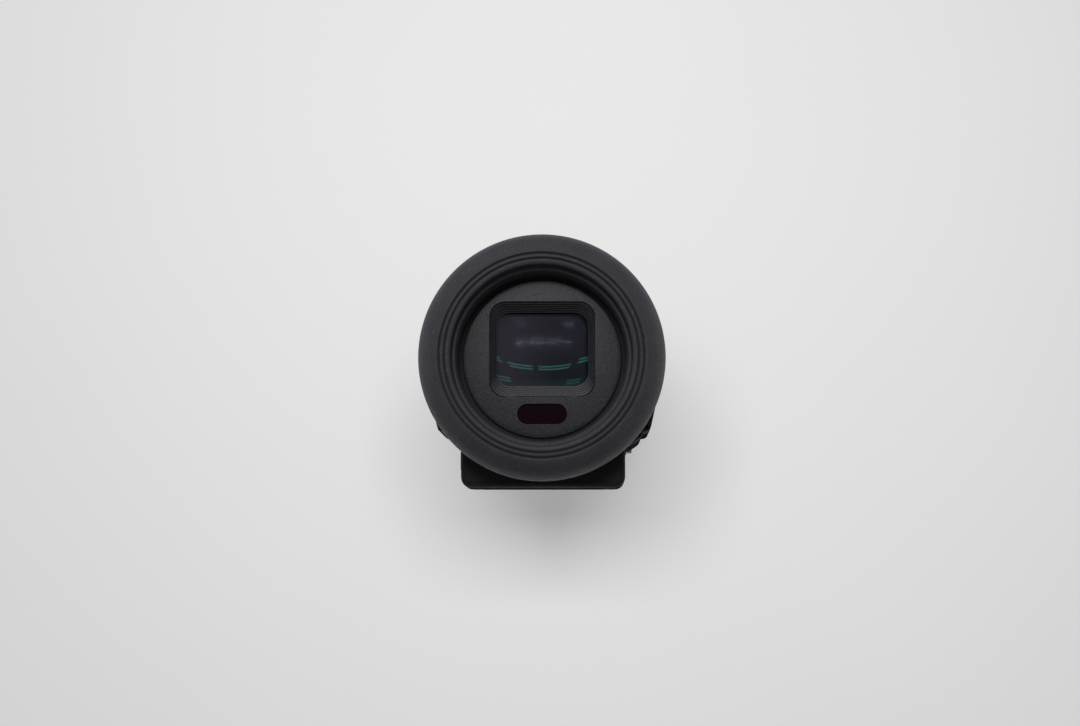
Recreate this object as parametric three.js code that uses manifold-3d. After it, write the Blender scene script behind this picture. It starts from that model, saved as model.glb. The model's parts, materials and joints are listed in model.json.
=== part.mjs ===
// A shoe-mount electronic viewfinder, in millimetres, +Z up.
// The origin is the centre of the shoe foot's bottom face. The eye looks in from -Y, towards +Y.
import * as THREE from 'three';
import { mergeVertices } from 'three/addons/utils/BufferGeometryUtils.js';
import Module from 'manifold-3d';

const wasm = await Module();
wasm.setup();

// ---- driving dimensions -------------------------------------------------------------------------

const FIT = 0.1; // gap between fixed pieces that are slid together
const PLAY = 0.3; // gap round a piece that moves
const WALL = 1.4; // casing wall
const MERGE = 1e-4; // vertices closer than this are one
const FAR = 40; // beyond every piece, for cuts that go right through
const SIDES = [[-1, 'left'], [1, 'right']];

// Shoe foot, to the standard accessory shoe
const FOOT_WIDTH = 18.6;
const FOOT_LENGTH = 18;
const FOOT_TOP = 2;
const NECK_WIDTH = 12.3;
const NECK_LENGTH = 17;
const DECK_BOTTOM = 3.6;

// Deck and rear block
const DECK_TOP = 5.5;
const DECK_HALF = 13.2;
const DECK_REAR = -8.9;
const DECK_FRONT = 10.4;
const BLOCK_HALF = 10.55;
const BLOCK_BOTTOM = -2;
const BLOCK_REAR = -18;
const BLOCK_FRONT = -9;
const BLOCK_CORNER = 1;
const BLOCK_WALL = 1.2;
const COVER_TOP = -1.3;
const BLOCK_ROOM_TOP = 4.9;
const CHANNEL = { half: 3.2, low: 4.3, high: 4.9 }; // flex channel under the deck's top

// Tilt hinge
const HINGE_Y = 14;
const HINGE_Z = 6;
const KNUCKLE_R = 2.4;
const PIN_R = 1;
const CAP_R = 2;
const CAP_THICK = 0.7;
const WASHER_R = 2.2;
const KNUCKLE_HALF = 6.4;
const ARM_INNER = 7.2;
const ARM_OUTER = 11.2;

// Optical head: heights below are measured from the optical axis, which is AXIS_Z above the foot
const AXIS_Z = 14.1;
const HEAD_FLAT = -8.4; // underside of the head
const REAR_R = 15;
const FRONT_R = 15.5;
const FRONT_FOOT_HALF = 14; // half-width of the front barrel's flat, reached by straight sides
const SIDE_FLAT = 13.7; // flat on the right side, under the dial
const BARREL_REAR = -18.5;
const BARREL_SPLIT = -8.2;
const NOSE_REAR = 9.4;
const NOSE_FRONT = 17.2;
const NOSE_FLAT = -5.1;
const NOSE_FLOOR = NOSE_FLAT + 1.2;
const CORNER = 1.2; // easing of the head's two lower corners

// Eyepiece
const CUP_R = 15.5;
const CUP_EDGE = -24.5;
const CUP_CREST = -27.6;
const CUP_MOUTH_R = 10.5;
const SLEEVE_R = 12.3;
const SLEEVE_REAR = -21.7;
const PANEL_R = 10.1;
const PANEL_FACE = -23;
const PANEL_BACK = -21.8;
const WINDOW_Z = 1.2; // centre of the eye lens above the axis
const RECESS = { width: 13.3, height: 12, corner: 1.9 };
const GLASS = { width: 11.6, height: 9.4, corner: 1.7 };
const LENS_SEAT = { width: 12.2, height: 10, corner: 2 };
const FUNNEL = { width: 14.5, height: 13.2, corner: 2.3 };
const FUNNEL_FRONT = -18.4;
const RECESS_FLOOR = -20.6;
const SENSOR = { width: 6.2, height: 2.45, z: -7 };

// Diopter drive: the crank pin's throw slides the lens carrier
const DIAL_Y = -13;
const DIAL_Z = 1.5;
const DIAL_R = 4;
const DIAL_TEETH = 20;
const THROW = 1.2;
const CRANK_R = 0.6;
const SPINDLE_R = 1;
const FLANGE_THICK = 0.7;
const CRANK_LONG = 1.4;

// Lens carrier and its guide rods
const CARRIER_R = 9.4;
const CARRIER_REAR = -16;
const CARRIER_FRONT = -6.5;
const LENS_R = 8.3;
const LENS_HALF = 5.6; // the lenses are cut flat above and below
const CARRIER_HALF = 6.6;
const ROD_X = 10.6;
const ROD_Z = -4.6;
const ROD_R = 0.7;
const ROD_REAR = -18.6;

// Lock: the button goes into the block's left side, and the pin rises into the foot
const BUTTON = { y: -14.2, z: 1.5, width: 3.6, height: 2.4, proud: 0.05 };
const LEVER = { low: 2.65, high: 3.15, rear: BUTTON.y + 0.6, wide: 1, start: -6.6, turn: -1.6 };
const LOCK_Y = 5.5;
const LOCK_R = 0.9;
const LOCK_DROP = 0.8; // how far the pin stands out of the foot

// ---- solids -------------------------------------------------------------------------------------

function solid(geometry) {
  const plain = geometry.index ? geometry.toNonIndexed() : geometry;
  const bare = new THREE.BufferGeometry();
  bare.setAttribute('position', plain.getAttribute('position'));
  const merged = mergeVertices(bare, MERGE);
  return new wasm.Manifold(
    new wasm.Mesh({
      numProp: 3,
      vertProperties: merged.attributes.position.array,
      triVerts: new Uint32Array(merged.index.array),
    }),
  );
}

function join(first, ...others) {
  return others.reduce((whole, piece) => whole.add(piece), first);
}

function cut(blank, ...tools) {
  return tools.reduce((left, tool) => left.subtract(tool), blank);
}

// Points on an arc, both ends included
function arc(x, y, radius, fromDeg, toDeg, steps) {
  return Array.from({ length: steps + 1 }, (_, i) => {
    const angle = THREE.MathUtils.degToRad(fromDeg + ((toDeg - fromDeg) * i) / steps);
    return new THREE.Vector2(x + radius * Math.cos(angle), y + radius * Math.sin(angle));
  });
}

// Points on a bend that leaves one point, heads for the corner and ends at the other point
function bend(from, corner, to, steps = 3) {
  return new THREE.QuadraticBezierCurve(from, corner, to).getPoints(steps);
}

// A closed outline, without points that repeat
function outline(points) {
  const kept = points.filter((p, i) => p.distanceTo(points[(i + 1) % points.length]) > MERGE);
  return new THREE.Shape(kept);
}

function polygon(pairs) {
  return outline(pairs.map(([x, y]) => new THREE.Vector2(x, y)));
}

function circle(x, y, radius, steps = 16) {
  return outline(arc(x, y, radius, 0, 360, steps));
}

function roundedRect(x, y, width, height, corner, steps = 3) {
  const dx = width / 2 - corner;
  const dy = height / 2 - corner;
  return outline([
    ...arc(x + dx, y + dy, corner, 0, 90, steps),
    ...arc(x - dx, y + dy, corner, 90, 180, steps),
    ...arc(x - dx, y - dy, corner, 180, 270, steps),
    ...arc(x + dx, y - dy, corner, 270, 360, steps),
  ]);
}

// An outline is drawn in the two axes left over, in X, Y, Z order, and drawn out between two places
const X = new THREE.Vector3(1, 0, 0);
const Y = new THREE.Vector3(0, 1, 0);
const Z = new THREE.Vector3(0, 0, 1);
const ALONG = {
  x: new THREE.Matrix4().makeBasis(Y, Z, X),
  y: new THREE.Matrix4().makeBasis(X, Z, Y.clone().negate()),
  z: new THREE.Matrix4(),
};

function prism(axis, shape, from, to) {
  const geometry = new THREE.ExtrudeGeometry(shape, { depth: to - from, bevelEnabled: false });
  geometry.translate(0, 0, axis === 'y' ? -to : from);
  return solid(geometry.applyMatrix4(ALONG[axis]));
}

function block(x0, x1, y0, y1, z0, z1) {
  const geometry = new THREE.BoxGeometry(x1 - x0, y1 - y0, z1 - z0);
  return solid(geometry.translate((x0 + x1) / 2, (y0 + y1) / 2, (z0 + z1) / 2));
}

// A solid of revolution about the optical axis, from points [radius, place along Y]
function turned(pairs, steps = 36) {
  const points = pairs.map(([radius, y]) => new THREE.Vector2(radius, y));
  const anticlockwise = THREE.ShapeUtils.area(points) > 0;
  const profile = anticlockwise ? points : points.reverse();
  const closed = profile.every((p) => p.x > MERGE);
  if (closed) profile.push(profile[0].clone());
  return solid(new THREE.LatheGeometry(profile, steps));
}

function rod(axis, a, b, radius, from, to, steps = 12) {
  return prism(axis, circle(a, b, radius, steps), from, to);
}

// ---- materials and the scene graph --------------------------------------------------------------

const FINISH = {
  rubber: { color: 0x1b1c1e, roughness: 0.85, metalness: 0 },
  casing: { color: 0x161718, roughness: 0.55, metalness: 0 },
  panel: { color: 0x1a1b1d, roughness: 0.6, metalness: 0 },
  metal: { color: 0x8c8f93, roughness: 0.35, metalness: 1 },
  darkMetal: { color: 0x2a2b2d, roughness: 0.4, metalness: 1 },
  gold: { color: 0xc9a24a, roughness: 0.3, metalness: 1 },
  circuit: { color: 0x1d4a2c, roughness: 0.6, metalness: 0 },
  flex: { color: 0x9a5a1e, roughness: 0.5, metalness: 0 },
  glass: { color: 0x141225, roughness: 0.05, metalness: 0 },
  filter: { color: 0x1c0a18, roughness: 0.15, metalness: 0 },
  chip: { color: 0x101010, roughness: 0.4, metalness: 0 },
};

function piece(parent, name, manifold, finish) {
  const { vertProperties, triVerts } = manifold.getMesh();
  const geometry = new THREE.BufferGeometry();
  geometry.setAttribute('position', new THREE.BufferAttribute(vertProperties, 3));
  geometry.setIndex(new THREE.BufferAttribute(triVerts, 1));
  const flat = geometry.toNonIndexed();
  flat.computeVertexNormals();
  const mesh = new THREE.Mesh(flat, new THREE.MeshStandardMaterial(FINISH[finish]));
  mesh.name = name;
  parent.add(mesh);
  return mesh;
}

const group = new THREE.Group();
const base = new THREE.Group();
const head = new THREE.Group();
const dial = new THREE.Group();
head.position.z = AXIS_Z;
dial.position.set(0, DIAL_Y, DIAL_Z);
head.add(dial);
group.add(base, head);

// A cross-head screw whose head's top is at the origin and whose shank runs down -Z
function screw({ headR, headHeight, shankR, length }) {
  const headPiece = rod('z', 0, 0, headR, -headHeight, 0, 12);
  const shank = rod('z', 0, 0, shankR, -length, -headHeight / 2, 10);
  const slotHalf = headR * 0.15;
  const slotLong = headR * 0.65;
  const slotDepth = headHeight * 0.6;
  return cut(
    join(headPiece, shank),
    block(-slotLong, slotLong, -slotHalf, slotHalf, -slotDepth, 1),
    block(-slotHalf, slotHalf, -slotLong, slotLong, -slotDepth, 1),
  );
}

// ---- base: foot, deck and block -----------------------------------------------------------------

const FOOT_SCREW = { headR: 1.1, headHeight: 0.7, shankR: 0.6, length: 4.4, x: 5.1, y: 6 };
const TONGUE_HALF = 3.8;
const TONGUE_REAR = 7;
const TONGUE_FRONT = 12;
const footScrewPlaces = [-1, 1].flatMap((sx) => [-1, 1].map((sy) => [sx * FOOT_SCREW.x, sy * FOOT_SCREW.y]));

function footScrewHoles(radius, from, to) {
  return footScrewPlaces.map(([x, y]) => rod('z', x, y, radius, from, to));
}

function buildFoot() {
  const half = FOOT_WIDTH / 2;
  const end = FOOT_LENGTH / 2;
  const lead = 1.6; // cut on the two corners that enter the shoe first
  const plate = prism(
    'z',
    polygon([[-half, -end], [half, -end], [half, end - lead], [half - lead, end],
      [lead - half, end], [-half, end - lead]]),
    0,
    FOOT_TOP,
  );
  const pinHole = rod('z', 0, LOCK_Y, LOCK_R + PLAY, -1, FOOT_TOP + 1);
  const heads = footScrewHoles(FOOT_SCREW.headR + FIT, -1, FOOT_SCREW.headHeight + FIT);
  const shanks = footScrewHoles(FOOT_SCREW.shankR + FIT, -1, FOOT_TOP + 1);
  const tongueSlot = block(-TONGUE_HALF - FIT, TONGUE_HALF + FIT, TONGUE_REAR - FIT, end + 1, 0.3, 1.7);
  piece(base, 'shoe_foot', cut(plate, pinHole, tongueSlot, ...heads, ...shanks), 'metal');

  const neck = prism('z', roundedRect(0, 0, NECK_WIDTH, NECK_LENGTH, 0.6, 2), FOOT_TOP, DECK_BOTTOM);
  const leverRoom = block(-2.6, 4.2, -NECK_LENGTH, LOCK_Y + 2.4, 2.5, DECK_BOTTOM + 1);
  const neckShanks = footScrewHoles(FOOT_SCREW.shankR + FIT, FOOT_TOP - 1, DECK_BOTTOM + 1);
  piece(base, 'foot_neck', cut(neck, leverRoom, pinHole, ...neckShanks), 'darkMetal');

  footScrewPlaces.forEach(([x, y], i) => {
    const mesh = piece(base, `foot_screw_${i + 1}`, screw(FOOT_SCREW), 'metal');
    mesh.rotation.x = Math.PI;
    mesh.position.set(x, y, FIT);
  });
}

function buildTongue() {
  const fingers = 9;
  const pitch = 0.75;
  const places = Array.from({ length: fingers }, (_, i) => (i - (fingers - 1) / 2) * pitch);
  const barRear = TONGUE_REAR + 0.4;
  const barFront = TONGUE_REAR + 0.9;
  const barHalf = TONGUE_HALF - 0.5;
  const [low, high] = [0.7, 1];
  const fingerHalf = 0.2;
  const tip = TONGUE_FRONT - 0.4;
  const comb = join(
    block(-barHalf, barHalf, barRear, barFront, low, high),
    ...places.map((x) => block(x - fingerHalf, x + fingerHalf, barRear, tip, low, high)),
  );
  const section = roundedRect((TONGUE_REAR + TONGUE_FRONT) / 2, 1, TONGUE_FRONT - TONGUE_REAR, 1.2, 0.3, 2);
  const body = prism('x', section, -TONGUE_HALF, TONGUE_HALF);
  const room = block(-barHalf - FIT, barHalf + FIT, TONGUE_REAR - 1, barFront + FIT, low - FIT, high + FIT);
  const grooves = places.map((x) => {
    const half = fingerHalf + 0.08;
    return block(x - half, x + half, barRear, tip + FIT, low - FIT, high + FIT);
  });
  const mouths = places.map((x) => {
    const half = fingerHalf + 0.08;
    return block(x - half, x + half, FOOT_LENGTH / 2 + 0.3, tip + FIT, 0, low);
  });
  piece(base, 'contact_tongue', cut(body, room, ...grooves, ...mouths), 'chip');
  piece(base, 'contact_comb', comb, 'gold');
}

function buildDeck() {
  const low = (sign) => [
    new THREE.Vector2(sign * (DECK_HALF - 2.9), DECK_BOTTOM),
    new THREE.Vector2(sign * (DECK_HALF - 1.7), DECK_BOTTOM + 0.2),
    new THREE.Vector2(sign * (DECK_HALF - 0.8), DECK_BOTTOM + 1),
  ];
  const high = (sign) => [
    new THREE.Vector2(sign * (DECK_HALF - 0.25), DECK_TOP - 0.5),
    new THREE.Vector2(sign * (DECK_HALF + 0.25), DECK_TOP),
    new THREE.Vector2(sign * (DECK_HALF - 0.6), DECK_TOP),
  ];
  const section = outline([
    ...bend(...low(1)),
    ...bend(...high(1)),
    ...bend(...high(-1).reverse()),
    ...bend(...low(-1).reverse()),
  ]);
  const slab = prism('y', section, DECK_REAR, DECK_FRONT);
  const flexWay = block(-CHANNEL.half, CHANNEL.half, -FAR, FAR, CHANNEL.low, CHANNEL.high);
  const threads = footScrewHoles(FOOT_SCREW.shankR + FIT, DECK_BOTTOM - 1, DECK_BOTTOM + 1);
  const springWell = rod('z', 0, LOCK_Y, 1.5, DECK_BOTTOM - 1, DECK_BOTTOM + 0.75);
  const tenons = [-1, 1].map((side) => armTenon(side, FIT));
  piece(base, 'deck', cut(slab, flexWay, springWell, ...threads, ...tenons), 'darkMetal');
}

// The tenon that holds a hinge arm in the deck; grown gives its pocket
function armTenon(side, grown = 0) {
  const middle = (side * (ARM_INNER + ARM_OUTER)) / 2;
  const half = 1.1 + grown;
  const rear = DECK_FRONT - 2 - grown;
  const low = DECK_BOTTOM + 0.5 - grown;
  const high = DECK_TOP - 0.5 + grown;
  return block(middle - half, middle + half, rear, DECK_FRONT + 0.5, low, high);
}

function buildHinge() {
  const armSection = outline([
    new THREE.Vector2(DECK_FRONT, DECK_BOTTOM),
    ...arc(HINGE_Y, HINGE_Z, KNUCKLE_R, -90, 122, 12),
    new THREE.Vector2(DECK_FRONT, DECK_TOP),
  ]);
  for (const [side, sideName] of SIDES) {
    const inner = side * ARM_INNER;
    const outer = side * ARM_OUTER;
    const arm = prism('x', armSection, Math.min(inner, outer), Math.max(inner, outer));
    const bore = rod('x', HINGE_Y, HINGE_Z, PIN_R + FIT, -FAR, FAR);
    piece(base, `hinge_arm_${sideName}`, cut(join(arm, armTenon(side)), bore), 'darkMetal');

    const capInner = side * (ARM_OUTER + FIT);
    const capOuter = side * (ARM_OUTER + FIT + CAP_THICK);
    const capFrom = Math.min(capInner, capOuter);
    const disc = rod('x', HINGE_Y, HINGE_Z, CAP_R, capFrom, capFrom + CAP_THICK, 24);
    const slotHalf = 0.25;
    const slotTop = side * (ARM_OUTER + FIT + CAP_THICK / 2);
    const slotEnd = side * (ARM_OUTER + 2);
    const slotLong = 1.5;
    const slot = block(Math.min(slotTop, slotEnd), Math.max(slotTop, slotEnd), HINGE_Y - slotLong,
      HINGE_Y + slotLong, HINGE_Z - slotHalf, HINGE_Z + slotHalf);
    piece(base, `hinge_cap_${sideName}`, cut(disc, slot), 'darkMetal');

    const washerGap = 0.15;
    const washerThick = ARM_INNER - KNUCKLE_HALF - 2 * washerGap;
    const washerFrom = side > 0 ? KNUCKLE_HALF + washerGap : -ARM_INNER + washerGap;
    const ring = cut(
      rod('x', HINGE_Y, HINGE_Z, WASHER_R, washerFrom, washerFrom + washerThick, 20),
      rod('x', HINGE_Y, HINGE_Z, PIN_R + FIT, -FAR, FAR),
    );
    piece(base, `friction_washer_${sideName}`, ring, 'metal');
  }
  piece(base, 'hinge_pin', rod('x', HINGE_Y, HINGE_Z, PIN_R, -ARM_OUTER, ARM_OUTER), 'metal');
}

// Outline of the block seen from behind, with its two lower corners rounded
function blockOutline() {
  const flat = BLOCK_HALF - BLOCK_CORNER;
  const low = BLOCK_BOTTOM + BLOCK_CORNER;
  return outline([
    ...arc(flat, low, BLOCK_CORNER, -90, 0, 5),
    new THREE.Vector2(BLOCK_HALF, DECK_TOP),
    new THREE.Vector2(-BLOCK_HALF, DECK_TOP),
    ...arc(-flat, low, BLOCK_CORNER, 180, 270, 5),
  ]);
}

const BLOCK_SCREW = { headR: 0.9, headHeight: 0.5, shankR: 0.45, length: 3.4, x: 8.6, y: -10.8 };

function buildBlock() {
  const roomHalf = BLOCK_HALF - BLOCK_WALL;
  const whole = prism('y', blockOutline(), BLOCK_REAR, BLOCK_FRONT);
  const below = block(-FAR, FAR, -FAR, 0, -FAR, COVER_TOP);
  const room = block(-roomHalf, roomHalf, BLOCK_REAR + BLOCK_WALL, BLOCK_FRONT - BLOCK_WALL, COVER_TOP - 1,
    BLOCK_ROOM_TOP);
  const postR = BLOCK_SCREW.shankR + 0.6;
  const posts = [-1, 1].map((side) =>
    rod('z', side * BLOCK_SCREW.x, BLOCK_SCREW.y, postR, COVER_TOP, BLOCK_ROOM_TOP + 0.3));
  const holes = (radius, from, to) =>
    [-1, 1].map((side) => rod('z', side * BLOCK_SCREW.x, BLOCK_SCREW.y, radius, from, to));
  const flexSlot = block(-CHANNEL.half, CHANNEL.half, -11, 0, CHANNEL.low, CHANNEL.high);
  const leverSlot = block(-2.4, 4, -11, 0, 2.4, 3.4);
  const buttonHole = prism(
    'x',
    roundedRect(BUTTON.y, BUTTON.z, BUTTON.width + 2 * PLAY, BUTTON.height + 2 * PLAY, 0.6, 3),
    -FAR,
    -roomHalf + 1,
  );
  const springSeat = block(-4.3, -3.6, BLOCK_REAR + 1, BUTTON.y, 0, 5);
  const shell = join(cut(whole, below, room), springSeat, ...posts);
  const cleared = cut(shell, buttonHole, flexSlot, leverSlot, ...holes(BLOCK_SCREW.shankR + FIT, -3, 3));
  piece(base, 'rear_block', cleared, 'casing');

  const seam = 0.05;
  const slab = prism('y', blockOutline(), BLOCK_REAR, BLOCK_FRONT);
  const above = block(-FAR, FAR, -FAR, 0, COVER_TOP - seam, FAR);
  const cover = cut(
    slab,
    above,
    ...holes(BLOCK_SCREW.headR + FIT, -5, BLOCK_BOTTOM + BLOCK_SCREW.headHeight),
    ...holes(BLOCK_SCREW.shankR + FIT, -5, 0),
  );
  piece(base, 'block_cover', cover, 'casing');

  for (const [side, sideName] of SIDES) {
    const mesh = piece(base, `block_screw_${sideName}`, screw(BLOCK_SCREW), 'darkMetal');
    mesh.rotation.x = Math.PI;
    mesh.position.set(side * BLOCK_SCREW.x, BLOCK_SCREW.y, BLOCK_BOTTOM);
  }
}

function buildBaseElectronics() {
  const boardHalf = 7.2;
  const socketHalf = CHANNEL.half + 0.2;
  const boardTop = COVER_TOP + 1;
  const board = block(-boardHalf, boardHalf, -16.4, -10.6, boardTop - 0.6, boardTop);
  const socket = block(-socketHalf, socketHalf, -15.8, -14.2, boardTop - 0.1, boardTop + 1);
  piece(base, 'base_board', join(board, socket), 'circuit');
  const ribbon = 0.2;
  const ribbonHalf = CHANNEL.half - PLAY;
  const middle = (CHANNEL.low + CHANNEL.high) / 2;
  const drop = -14.9;
  const end = boardTop + 1.1;
  const path = polygon([[drop, end], [drop + ribbon, end], [drop + ribbon, middle - ribbon / 2],
    [DECK_FRONT, middle - ribbon / 2], [DECK_FRONT, middle + ribbon / 2], [drop, middle + ribbon / 2]]);
  piece(base, 'base_flex', prism('x', path, -ribbonHalf, ribbonHalf), 'flex');
}

// ---- lock: button, lever, pin and their springs -------------------------------------------------

function coil(radius, wireR, turns, length) {
  const perTurn = 7;
  const count = turns * perTurn;
  const points = Array.from({ length: count + 1 }, (_, i) => {
    const angle = (i / perTurn) * Math.PI * 2;
    return new THREE.Vector3(radius * Math.cos(angle), radius * Math.sin(angle), (i / count) * length);
  });
  const path = new THREE.CatmullRomCurve3(points);
  const options = { steps: count, extrudePath: path, bevelEnabled: false };
  return solid(new THREE.ExtrudeGeometry(circle(0, 0, wireR, 5), options));
}

function buildLock() {
  const outer = -BLOCK_HALF - BUTTON.proud;
  const inner = -8.2;
  const flangeRear = BUTTON.y - 2.3;
  const flangeFront = BUTTON.y + 2.3;
  const stopGap = FIT;
  const shape = roundedRect(BUTTON.y, BUTTON.z, BUTTON.width, BUTTON.height, 0.5, 3);
  const face = prism('x', shape, outer, inner);
  const flange = block(BLOCK_WALL - BLOCK_HALF + stopGap, inner, flangeRear, flangeFront,
    BUTTON.z - 1.6, BUTTON.z + 1.6);
  const grooveHalf = 0.2;
  const grooves = [-1, 0, 1].map((i) => block(outer - 1, outer + 0.25, BUTTON.y + i - grooveHalf,
    BUTTON.y + i + grooveHalf, BUTTON.z - 2, BUTTON.z + 2));
  const leverFront = LEVER.rear + LEVER.wide;
  const stub = block(inner - FIT, LEVER.start, LEVER.rear, leverFront, 2.4, 3.1);
  piece(base, 'lock_button', cut(join(face, flange, stub), ...grooves), 'casing');

  const forkHalf = 1.5;
  const lever = join(
    block(LEVER.start, LEVER.turn + LEVER.wide, LEVER.rear, leverFront, LEVER.low, LEVER.high),
    block(LEVER.turn, LEVER.turn + LEVER.wide, LEVER.rear, LOCK_Y - forkHalf, LEVER.low, LEVER.high),
    block(LEVER.turn, 2.4, LOCK_Y - forkHalf - 1, LOCK_Y - forkHalf, LEVER.low, LEVER.high),
  );
  piece(base, 'lock_lever', lever, 'metal');

  const spring = piece(base, 'button_spring', coil(0.9, 0.14, 4, 3.4), 'metal');
  spring.rotation.y = Math.PI / 2;
  spring.position.set(-7.9, BUTTON.y - 1.2, BUTTON.z);

  const stemTop = 3.3;
  const collar = rod('z', 0, LOCK_Y, LOCK_R + 0.1, 2.6, 3, 16);
  const body = rod('z', 0, LOCK_Y, LOCK_R, -LOCK_DROP, 3);
  const stem = rod('z', 0, LOCK_Y, 0.45, 2.9, stemTop, 8);
  piece(base, 'lock_pin', join(body, collar, stem), 'metal');
  const pinSpring = piece(base, 'pin_spring', coil(0.75, 0.1, 3, 0.9), 'metal');
  pinSpring.position.set(0, LOCK_Y, 3.25);
}

buildFoot();
buildTongue();
buildDeck();
buildHinge();
buildBlock();
buildBaseElectronics();
buildLock();

// ---- head casing --------------------------------------------------------------------------------

// Outline of the head seen from behind: a circle about the optical axis, cut flat underneath with eased
// corners. It is cut flat on the right when sideX is inside the circle. With footHalf, its sides leave the
// circle and run straight down to a flat of that half-width.
function headOutline(radius, flatZ, { sideX = radius, footHalf } = {}) {
  const toDeg = THREE.MathUtils.radToDeg;
  const cornerX = footHalf ?? Math.sqrt(radius * radius - flatZ * flatZ);
  const reach = Math.hypot(cornerX, flatZ);
  const leave = toDeg(Math.asin(flatZ / reach) + Math.acos(Math.min(1, radius / reach)));
  const start = footHalf ? leave : leave + toDeg(CORNER / radius);
  const end = 180 - start;
  const side = toDeg(Math.acos(Math.min(1, sideX / radius)));
  const round = side > 0
    ? [...arc(0, 0, radius, start, -side, 3), ...arc(0, 0, radius, side, end, 24)]
    : arc(0, 0, radius, start, end, 28);
  const corner = (sign) => new THREE.Vector2(sign * cornerX, flatZ);
  const onFlat = (sign) => new THREE.Vector2(sign * (cornerX - CORNER), flatZ);
  const onSide = (sign) => {
    const top = sign > 0 ? round[0] : round[round.length - 1];
    const share = footHalf ? CORNER / corner(sign).distanceTo(top) : 1;
    return corner(sign).lerp(top, share);
  };
  return outline([
    ...bend(onFlat(1), corner(1), onSide(1)),
    ...round,
    ...bend(onSide(-1), corner(-1), onFlat(-1)),
  ]);
}

function buildBarrels() {
  const rearOutline = (inset) =>
    headOutline(REAR_R - inset, HEAD_FLAT + inset, { sideX: SIDE_FLAT - inset });
  const rearOuter = prism('y', rearOutline(0), BARREL_REAR, BARREL_SPLIT);
  const rearInner = prism('y', rearOutline(WALL), -FAR, FAR);
  const spindleHole = rod('x', DIAL_Y, DIAL_Z, SPINDLE_R + PLAY, SIDE_FLAT - WALL - 1, FAR);
  piece(head, 'rear_barrel', cut(rearOuter, rearInner, spindleHole), 'casing');

  const seam = 0.1;
  const frontOutline = (inset) =>
    headOutline(FRONT_R - inset, HEAD_FLAT + inset, { footHalf: FRONT_FOOT_HALF - inset });
  const frontOuter = prism('y', frontOutline(0), BARREL_SPLIT + seam, NOSE_REAR - seam);
  const frontInner = prism('y', frontOutline(WALL), -FAR, FAR);
  const bulkhead = cut(
    prism('y', frontOutline(0.5), NOSE_REAR - WALL, NOSE_REAR - seam),
    block(-FAR, FAR, 0, FAR, NOSE_FLOOR, FAR),
  );
  piece(head, 'front_barrel', join(cut(frontOuter, frontInner), bulkhead), 'casing');
}

const NOSE_SCREW = { headR: 1, headHeight: 0.6, shankR: 0.5, length: 3, x: 12.2, y: 12.6 };
const BRACKET_SCREW = { headR: 1, headHeight: 0.6, shankR: 0.5, length: 2.6, x: 4.7, y: 12.9 };

function buildNose() {
  const ease = 3;
  const bulge = (radius, front, easeR) => [
    [0, NOSE_REAR],
    [radius, NOSE_REAR],
    ...arc(radius - easeR, front - easeR, easeR, 0, 90, 4).map((p) => [p.x, p.y]),
    [0, front],
  ];
  const below = block(-FAR, FAR, 0, FAR, -FAR, NOSE_FLAT);
  const outside = cut(turned(bulge(FRONT_R, NOSE_FRONT, ease)), below);
  const innerBelow = block(-FAR, FAR, 0, FAR, -FAR, NOSE_FLOOR);
  const room = cut(turned(bulge(FRONT_R - WALL, NOSE_FRONT - WALL, ease - WALL)), innerBelow);
  const mouth = cut(
    prism('y', circle(0, 0, FRONT_R - WALL, 36), NOSE_REAR - 1, NOSE_REAR + 0.5),
    innerBelow,
  );
  const atScrews = (place, radius, from, to) =>
    [-1, 1].map((side) => rod('z', side * place.x, place.y, radius, from, to));
  const bosses = atScrews(NOSE_SCREW, 1.5, NOSE_FLAT + 0.5, NOSE_FLAT + 3.7);
  const noseHeads = atScrews(NOSE_SCREW, NOSE_SCREW.headR + FIT, -FAR, NOSE_FLAT + NOSE_SCREW.headHeight);
  const noseShanks = atScrews(NOSE_SCREW, NOSE_SCREW.shankR + FIT, -FAR, NOSE_FLAT + 3.2);
  const bracketHoles = atScrews(BRACKET_SCREW, BRACKET_SCREW.shankR + FIT, -FAR, 0);
  const flexWay = block(-CHANNEL.half, CHANNEL.half, 10.2, 11.5, -FAR, 0);
  const shell = join(cut(outside, room, mouth), ...bosses);
  piece(head, 'nose_cap', cut(shell, ...noseHeads, ...noseShanks, ...bracketHoles, flexWay), 'casing');

  for (const [side, sideName] of SIDES) {
    const noseScrew = piece(head, `nose_screw_${sideName}`, screw(NOSE_SCREW), 'darkMetal');
    noseScrew.rotation.x = Math.PI;
    noseScrew.position.set(side * NOSE_SCREW.x, NOSE_SCREW.y, NOSE_FLAT);
    const bracketScrew = piece(head, `bracket_screw_${sideName}`, screw(BRACKET_SCREW), 'metal');
    bracketScrew.position.set(side * BRACKET_SCREW.x, BRACKET_SCREW.y, NOSE_FLOOR + BRACKET_SCREW.headHeight);
  }

  const hingeZ = HINGE_Z - AXIS_Z;
  const section = outline([
    ...arc(HINGE_Y, hingeZ, KNUCKLE_R, 180, 360, 12),
    new THREE.Vector2(HINGE_Y + KNUCKLE_R, NOSE_FLAT),
    new THREE.Vector2(HINGE_Y - KNUCKLE_R, NOSE_FLAT),
  ]);
  const threads = atScrews(BRACKET_SCREW, BRACKET_SCREW.shankR + FIT, NOSE_FLAT - 1.1, FAR);
  const bracket = cut(
    prism('x', section, -KNUCKLE_HALF, KNUCKLE_HALF),
    rod('x', HINGE_Y, hingeZ, PIN_R + PLAY, -FAR, FAR, 20),
    ...threads,
  );
  piece(head, 'tilt_bracket', bracket, 'darkMetal');
}

// ---- eyepiece -----------------------------------------------------------------------------------

function stadium(z, width, height) {
  return roundedRect(0, z, width, height, height / 2, 4);
}

function windowed(shape, { width, height, corner }) {
  return shape(0, WINDOW_Z, width, height, corner, 3);
}

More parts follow.
